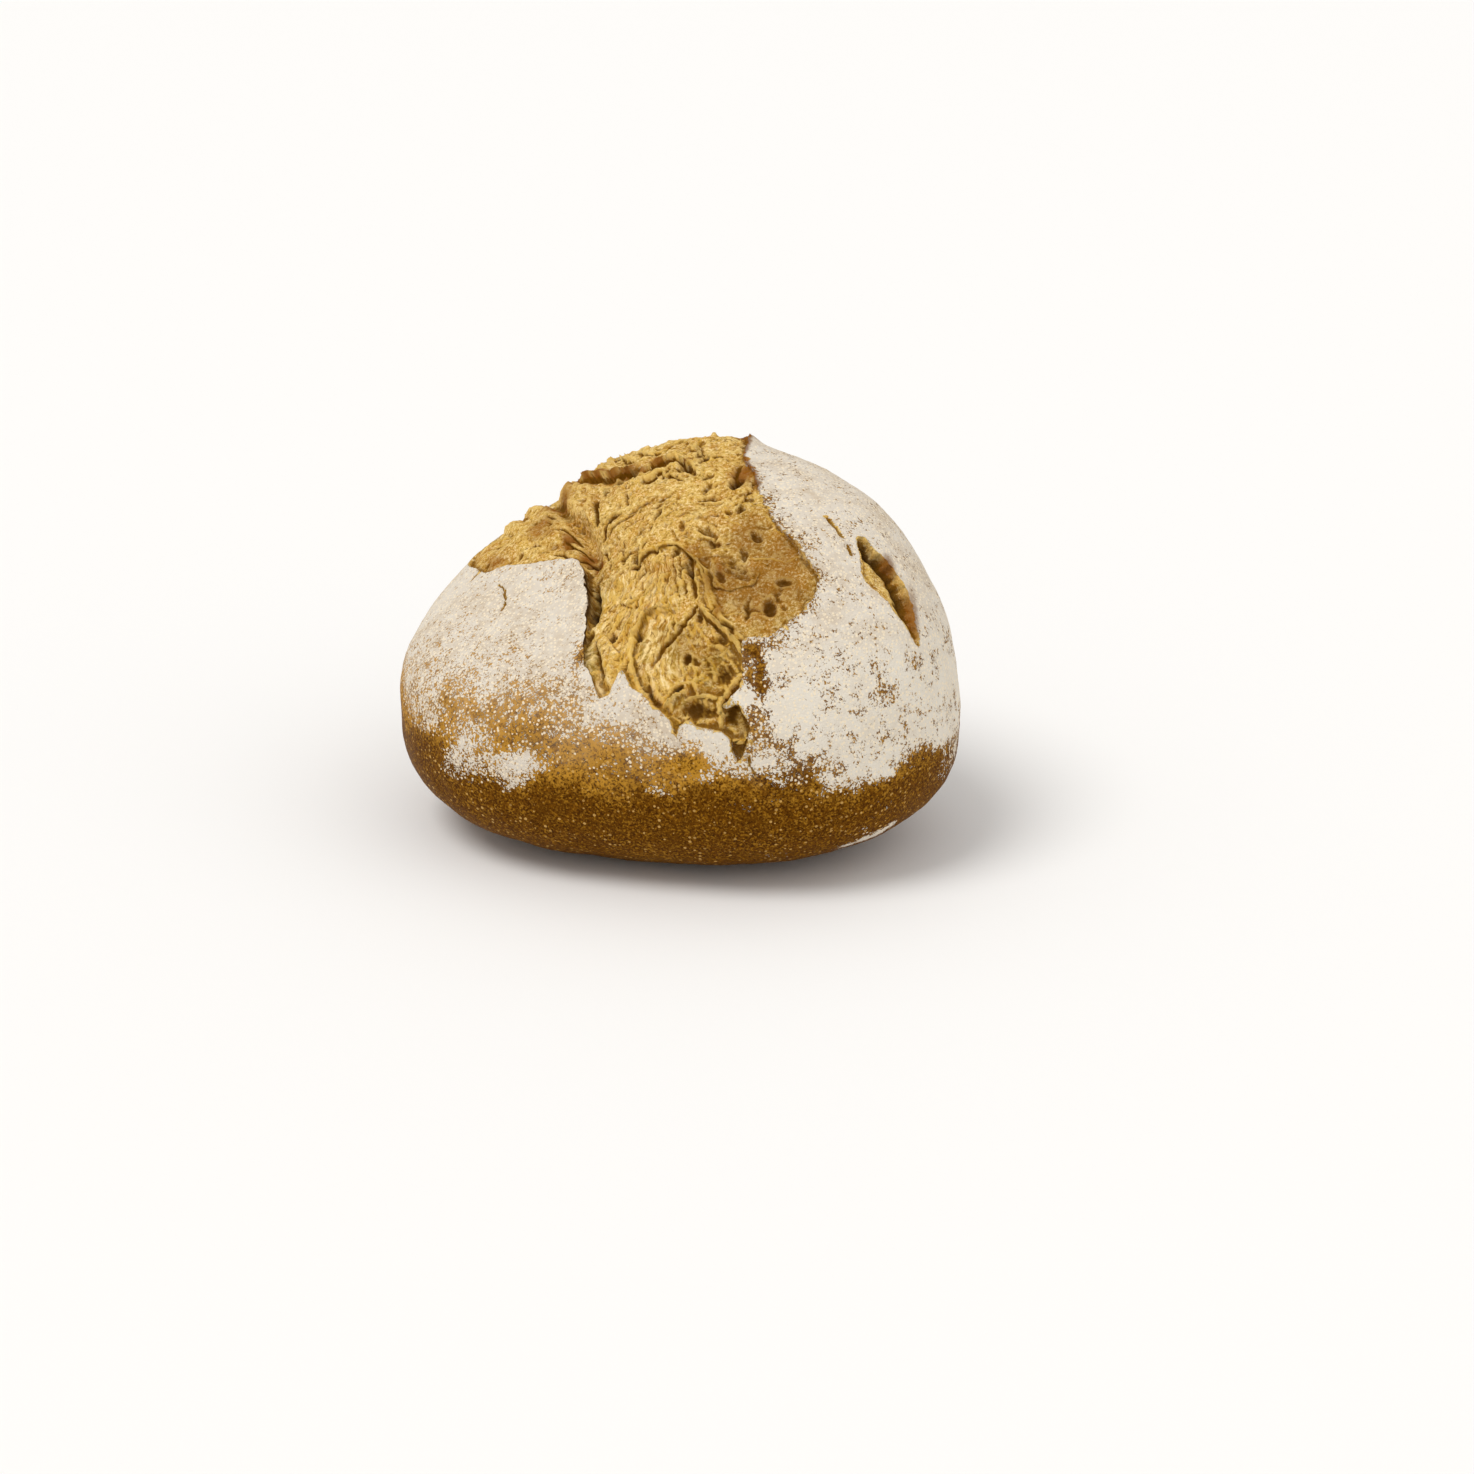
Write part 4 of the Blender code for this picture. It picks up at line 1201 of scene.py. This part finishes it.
rim = np.exp(-(depth_in / RIM_WIDTH) ** 2)
rim *= smooth_step(places[:, 1], *RIM_FROM) * smooth_step(places[:, 0], *RIM_RIGHT_OF)
toast = most_of((0.95, TOASTED), (0.5, HALF_TOASTED))
toast = np.clip(toast + lumpy(shaken, *TOAST_LUMPS), 0, 1)
scorch = np.maximum(rim, most_of((1, SCORCHED), (0.55, HALF_SCORCHED), (0.9, BURST_SCORCHED)))
scorch = np.clip(scorch + lumpy(shaken, *SCORCH_LUMPS), 0, 1)
olive_and_shade = most_of((1, OLIVE_AND_SHADED), (0.75, HALF_OLIVE_AND_SHADED))
golden_side = smooth_step(-points[:, 0], -25 * MM, 40 * MM)
pale_above = (6 - 8 * golden_side) * MM
brown_below = (-11 - 9 * golden_side) * MM
brown = 1 - smooth_step(points[:, 2] - line, brown_below, pale_above)
right_side = smooth_step(points[:, 0], 5 * MM, 30 * MM)
brown = np.maximum(brown, 0.7 * np.maximum(right_side, around_spots(shaken, *BROWN_BESIDE_BOWL)))
brown = np.clip(brown + lumpy(plain_points, *BROWN_LUMPS), 0, 1)
for name, values in {"toast": toast, "scorch": scorch, "olive_and_shade": olive_and_shade, "brown": brown}.items():
    keep(name, values)
    print("mean", name, values.mean())

# %% [markdown]
# ## Painted shade in gaps, and the border
#
# The darkest places get painted shade: the cleft in the side burst, the gap beside the left crust,
# the pockets under the flake and the arcs, and a hair line at the foot of the tear's edge, darker at
# the left. The crumb also spills a little over the tear's edge in places, so the border between the
# two is marked with how much.

# %% Paint the darkest shade and mark the border
CLEFT_SHADE_AT = 0.9
CLEFT_SHADE_WIDTH = 1.5
CLEFT_SHADE_LUMPS = (0.6, 1.2, 61.0)
LEFT_GAP_SHADE = ((-24.5, 12, 1.5, 4), (-23.4, 3, 1.4, 5))
SHADED_POCKETS = ((-12.5, 59.4, 3.5, 0.9), (-21, 57, 1.2, 1.5), (18.3, 36.5, 1.4, 2.4), (3, 54.5, 3, 0.5))
POCKET_SHADE_LUMPS = (0.8, 1.5, 63.0)
EDGE_SHADE_AT = 0.1
EDGE_SHADE_WIDTH = 0.35
SPILL_LEAST = 0.12
SPILL_BESIDE_BOWL = 0.5
SPILL_LOW_DOWN = 0.25

edge_in = np.clip(np.maximum(depth_in, burst_in + 0.3), -2, 3)
edge_in = np.maximum(edge_in, np.where(cracked > 0.2, cracked - 0.5, -2))
beside_bowl = smooth_step(places[:, 0], 12, 20) * smooth_step(-places[:, 0], -38, -34)
low_down = smooth_step(-places[:, 1], 20, 30)
spill = SPILL_LEAST + SPILL_BESIDE_BOWL * beside_bowl + SPILL_LOW_DOWN * low_down
cleft_shade = np.exp(-((lip_away - CLEFT_SHADE_AT) / CLEFT_SHADE_WIDTH) ** 2) * (burst_in > -0.2)
cleft_shade *= 0.6 + lumpy(shaken, *CLEFT_SHADE_LUMPS)
cleft_shade *= 0.45 + 0.55 * smooth_step(places[:, 1], -5, 4)
pocket_shade = 0.65 * around_spots(shaken, *SHADED_POCKETS) * (0.7 + lumpy(shaken, *POCKET_SHADE_LUMPS))
gap_shade = np.maximum(0.85 * around_spots(shaken, *LEFT_GAP_SHADE), pocket_shade) * (depth_in > -0.3)
deep_shade = np.exp(-((depth_in - EDGE_SHADE_AT) / EDGE_SHADE_WIDTH) ** 2) * (0.3 + 0.6 * left_edge)


def on_skin(near_values):
    """Values at the tear's corners, with zeros on the rest of the skin."""
    whole = np.zeros(len(points))
    whole[tear_near] = near_values
    return whole


for name, values in {
    "edge_in": edge_in,
    "spill": spill,
    "deep_shade": np.clip(np.max((cleft_shade, gap_shade, deep_shade), axis=0), 0, 1),
    "curtain": on_skin(curtain * combed),
    "thread": np.maximum(on_skin(np.clip(thread_tops, 0, 1)), edge_tops),
    "crevice_shade": crevice_shades,
    "pit_shade": on_skin(pit_shade_depths),
}.items():
    keep(name, values)
    print("mean", name, values.mean())

combed_vectors = np.zeros((len(points), 3), np.float32)
combed_vectors[tear_near, 0] = across * MM_PER_DEGREE * MM
combed_vectors[tear_near, 1] = along * MM_PER_DEGREE * MM
fan_attribute = skin_mesh.attributes.new("fan", "FLOAT_VECTOR", "POINT")
fan_attribute.data.foreach_set("vector", combed_vectors.ravel())

# %% [markdown]
# ## The torn crumb's material
#
# Crumb is set starch: dry, matt and golden where the oven reached it. Colour follows form. Thread
# tops and thin edges caught the heat and are a bright yellow, flat sheets are a duller gold, raised
# crumb gets a paler painted highlight, and painted shade takes hollows from olive brown to nearly
# black. All colours go into one material, which is built in coats: each coat lies where some mark or
# mottle is strong, over all that was laid before.

# %% Start the material
bread = bpy.data.materials.new("baked_crust_with_flour_and_torn_crumb")
bread.use_nodes = True
tree = bread.node_tree
shader = tree.nodes["Principled BSDF"]
place = put(tree, "TexCoord").outputs["Object"]


def mark(name):
    """The socket of an attribute kept on the skin."""
    return put(tree, "Attribute", attribute_name=name).outputs["Fac"]


def mottle(size_mm, vector=None, detail=3.0, roughness=0.6):
    """Noise whose lumps measure so many millimetres."""
    vector = place if vector is None else vector
    return put(tree, "TexNoise", {"Vector": vector, "Scale": 1000 / size_mm, "Detail": detail,
                                  "Roughness": roughness}).outputs["Fac"]


def ease(value, low, high, to_low=0.0, to_high=1.0):
    """A smooth ramp of a socket between two values."""
    return put(tree, "MapRange", {"Value": value, "From Min": low, "From Max": high,
                                  "To Min": to_low, "To Max": to_high},
               interpolation_type="SMOOTHSTEP").outputs["Result"]


def mixed(share, first, second):
    """Two colours mixed by a share."""
    return put(tree, "Mix", {0: share, 6: first, 7: second}, data_type="RGBA").outputs[2]


def painted(base, *coats):
    """Colours laid over a base, each by a value that eases from low to high, up to a share."""
    for value, low, high, share, hex_code in coats:
        base = mixed(ease(value, low, high, 0.0, share), base, tone(hex_code))
    return base


def reckon(operation, first, second=0.0):
    """The result of a sum on sockets."""
    return put(tree, "Math", {0: first, 1: second}, operation=operation).outputs[0]


print("attributes on the skin", len(skin_mesh.attributes))

# %% [markdown]
# ## Mottles, and the crumb's colours
#
# One noise stretched along the fibres gives the curtain its drawn look, and round ones speckle the
# rest, down to about a millimetre. Patches a few millimetres wide make some sheets of crumb browner
# and some paler. After them come the colours that follow form, from the highest to the deepest: the
# thread tops, a paler painted highlight on raised crumb, and painted shade in hollows, creases, pits
# and gaps.

# %% Colour the crumb
fan = put(tree, "Attribute", attribute_name="fan").outputs["Vector"]
drawn_out = put(tree, "Mapping", {"Vector": fan, "Scale": (1, 0.15, 1)}).outputs["Vector"]
fibre_mottle = mottle(1.5, drawn_out)
half_drawn = put(tree, "Mapping", {"Vector": fan, "Scale": (1, 0.3, 1)}).outputs["Vector"]
drawn_speckle = mottle(1.6, half_drawn, detail=4.0, roughness=0.75)
fine_mottle = mottle(0.9)
grain_mottle = mottle(0.8, detail=2.0)
mid_mottle = mottle(2.4, detail=4.0)
wide_mottle = mottle(13, detail=2.0)
sheet_mottle = mottle(5.5, detail=4.0, roughness=0.65)
round_speckle = mottle(1.1, detail=4.0, roughness=0.8)
speckle = put(tree, "Mix", {0: ease(mark("curtain"), 0.45, 0.75), 2: round_speckle, 3: drawn_speckle},
              data_type="FLOAT").outputs[0]

crumb_tone = painted(
    mixed(mark("toast"), tone("#DFB55B"), tone("#8D5F1D")),
    # Olive tone: the bowl's own greyer crumb, and painted shade in the recesses beside the arch.
    (mark("olive_and_shade"), 0.0, 1.0, 0.85, "#8F712B"),
    (wide_mottle, 0.45, 0.65, 0.6, "#B88238"),
    (sheet_mottle, 0.52, 0.62, 0.5, "#C4862F"),
    (sheet_mottle, 0.48, 0.38, 0.6, "#F0D084"),
)
drawn = reckon("MULTIPLY", ease(fibre_mottle, 0.5, 0.64), ease(mark("curtain"), 0.1, 0.9, 0.05, 0.9))
crumb_tone = mixed(drawn, crumb_tone, tone("#FADB98"))
less_in_olive_and_shade = ease(mark("olive_and_shade"), 0.2, 1.0, 1.0, 0.4)
pale_share = reckon("MULTIPLY", ease(speckle, 0.51, 0.61, 0.0, 0.85), less_in_olive_and_shade)
crumb_tone = painted(
    mixed(pale_share, crumb_tone, tone("#FFE5AB")),
    (mid_mottle, 0.48, 0.34, 0.7, "#9C6A16"),
    (speckle, 0.46, 0.36, 0.85, "#7C4F06"),
    (mark("thread"), 0.25, 0.85, 0.65, "#DFAE42"),
    # Paler painted highlight where the crumb stands above its surroundings.
    (mark("fine_hollow_shading"), -0.04, -0.35, 0.5, "#F2CE7C"),
    (mark("toast"), 0.1, 0.9, 0.55, "#8F5F1E"),
    (mark("scorch"), 0.1, 0.9, 0.85, "#8A4A04"),
)
# Painted shade from here on: hollows, crevices, pits, and darkest in gaps and clefts.
hollow_shade_share = ease(mark("curtain"), 0.0, 1.0, 0.8, 0.5)
hollow_shade_share = reckon("MULTIPLY", ease(mark("fine_hollow_shading"), 0.04, 0.42), hollow_shade_share)
crumb_tone = painted(
    mixed(hollow_shade_share, crumb_tone, tone("#7A500C")),
    (mark("wide_hollow_shading"), 1.0, 3.8, 0.6, "#6B4A10"),
    # Painted shade under sheet edges and in folds.
    (mark("crevice_shade"), 0.2, 0.9, 0.85, "#6B4204"),
    # Painted shade in pits.
    (mark("pit_shade"), 0.5, 2.2, 0.7, "#5A370C"),
    # Darkest painted shade: gaps, clefts and the foot of the tear's edge.
    (mark("deep_shade"), 0.1, 0.9, 0.95, "#341A05"),
)
print("nodes in the crumb", len(tree.nodes))

# %% [markdown]
# ## The bare crust's material
#
# Bare crust is browned sugar and starch. It has a faint gloss, blotches a few millimetres wide, and
# very many pale dots where single grains of flour baked in. The real dots are half a millimetre
# wide, so they are drawn a little coarser to survive the picture.

# %% Colour the crust
DOT_SPACING = 1.7
DOT_KEPT = 0.5
DOT_SIZE = 0.34


def specks(spacing):
    """Specks so many millimetres apart: how far the nearest one is, and a number of its own."""
    cells = put(tree, "TexVoronoi", {"Vector": place, "Scale": 1000 / spacing, "Randomness": 1.0})
    number = put(tree, "SeparateColor", {"Color": cells.outputs["Color"]}).outputs[0]
    return cells.outputs["Distance"], number


browned = reckon("ADD", mark("brown"), ease(mid_mottle, 0.3, 0.7, -0.35, 0.35))
browned = reckon("ADD", browned, ease(grain_mottle, 0.3, 0.7, -0.3, 0.3))
crust_tone = painted(
    mixed(ease(browned, -0.1, 0.95), tone("#B8842A"), tone("#5A3300")),
    (mid_mottle, 0.5, 0.64, 0.7, "#7C4E08"),
    (grain_mottle, 0.5, 0.62, 0.65, "#341800"),
    (fine_mottle, 0.46, 0.36, 0.7, "#A8761C"),
    (wide_mottle, 0.5, 0.7, 0.35, "#5A3400"),
)
dot_away, dot_number = specks(DOT_SPACING)
dot_size = ease(dot_number, DOT_KEPT, 1.0, 0.0, DOT_SIZE)
dot = ease(reckon("SUBTRACT", dot_away, dot_size), 0.04, -0.04)
dot_share = reckon("MULTIPLY", dot, ease(wide_mottle, 0.3, 0.6, 0.35, 0.85))
crust_tone = mixed(dot_share, crust_tone, tone("#D0A55E"))
print("nodes with the crust", len(tree.nodes))

# %% [markdown]
# ## Flour on the crust
#
# Flour is a dry white powder. It covers in grains and in small cakes: on the left it fades out grain
# by grain, on the right it caked and crazed, so brown shows in short cracks. The cover is the laid
# flour plus noise of three sizes, cut off sharply, as a real coat is either there or not. Single
# grains lie over it all, fewer and smaller where less flour was laid. Scorched edges show through.

# %% Cover the crust
GRAIN_SPACING = 1.25
GRAIN_SIZE = 0.38
GRAIN_SHARE = 0.85

flour_tone = painted(
    tone("#DACFBF"),
    (wide_mottle, 0.35, 0.7, 1.0, "#CDBCA5"),
    (mid_mottle, 0.4, 0.7, 0.5, "#E4DCCD"),
    (mark("chunky"), 0.0, 1.0, 0.6, "#E6DECF"),
)
cake_mottle = mottle(3.2, detail=5.0, roughness=0.7)
cluster_mottle = mottle(9, detail=3.0)
off_middle = reckon("SUBTRACT", mottle(4.5, detail=4.0, roughness=0.65), 0.5)
craze = ease(reckon("ABSOLUTE", off_middle), 0.03, 0.01)
craze = reckon("MULTIPLY", craze, ease(cake_mottle, 0.52, 0.44, 0.0, 0.7))
craze = reckon("MULTIPLY", craze, ease(mark("chunky"), 0.0, 1.0, 0.3, 1.0))
craze = reckon("MULTIPLY", craze, ease(cluster_mottle, 0.45, 0.6, 0.25, 1.4))
clusters = reckon("MULTIPLY", mark("chunky"), ease(cluster_mottle, 0.35, 0.65, 0.3, -0.2))
cover = reckon("ADD", mark("flour"), ease(cake_mottle, 0.3, 0.7, -0.3, 0.3))
cover = reckon("ADD", cover, ease(grain_mottle, 0.3, 0.7, -0.26, 0.26))
cover = reckon("ADD", cover, clusters)
cover = ease(reckon("SUBTRACT", cover, craze), 0.38, 0.56)
veiled = reckon("MULTIPLY", mark("veil"), ease(cake_mottle, 0.3, 0.6, 0.6, 1.0))
cover = reckon("MAXIMUM", cover, veiled)
grain_away, grain_number = specks(GRAIN_SPACING)
grain_share = ease(mark("flour"), -0.38, 0.5, -0.2, 1.0)
grain_share = reckon("ADD", grain_share, ease(mid_mottle, 0.35, 0.65, -0.22, 0.22))
grain_size = ease(reckon("SUBTRACT", grain_share, grain_number), 0.0, 0.2, 0.0, GRAIN_SIZE)
grain = ease(reckon("SUBTRACT", grain_away, grain_size), 0.03, -0.05)
outside = mixed(cover, crust_tone, flour_tone)
outside = mixed(reckon("MULTIPLY", grain, GRAIN_SHARE), outside, tone("#F0DFC2"))
outside = painted(outside, (mark("scorch"), 0.3, 1.0, 0.8, "#7C5534"))
print("nodes with the flour", len(tree.nodes))

# %% [markdown]
# ## Crumb meets crust
#
# The border follows the tear's edge. Where the crumb spills, noise moves it to and fro by up to a
# millimetre or two, so that specks of crumb lie on the flour and flakes of crust on the crumb.

# %% Join crumb and crust
spilled = reckon("MULTIPLY", mark("spill"), ease(cake_mottle, 0.3, 0.7, -1.6, 1.6))
torn_off = ease(reckon("ADD", mark("edge_in"), spilled), -0.06, 0.06)
colour = mixed(torn_off, outside, crumb_tone)
tree.links.new(colour, shader.inputs["Base Color"])
print("nodes once crumb and crust are joined", len(tree.nodes))

# %% [markdown]
# ## Grain you could feel
#
# The last touch is relief too small for the mesh: grain on the crumb, and the flour's thickness,
# which makes every cake of it stand a tenth of a millimetre above the crust.

# %% Roughness and fine relief
covered = reckon("MAXIMUM", cover, torn_off)
tree.links.new(ease(covered, 0.0, 1.0, 0.55, 0.95), shader.inputs["Roughness"])
shader.inputs["Specular IOR Level"].default_value = 0.03
crumb_grain = reckon("MULTIPLY", fibre_mottle, ease(mark("curtain"), 0.1, 0.7, 0.15, 1.0))
crumb_grain = reckon("ADD", crumb_grain, speckle)
crumb_grain = reckon("MULTIPLY", crumb_grain, torn_off)
relief = reckon("ADD", crumb_grain, reckon("MULTIPLY", cover, grain_mottle))
bump = put(tree, "Bump", {"Height": relief, "Strength": 0.8, "Distance": 0.5 * MM})
tree.links.new(bump.outputs["Normal"], shader.inputs["Normal"])
skin_mesh.materials.clear()
skin_mesh.materials.append(bread)
print("nodes with the fine relief", len(tree.nodes))
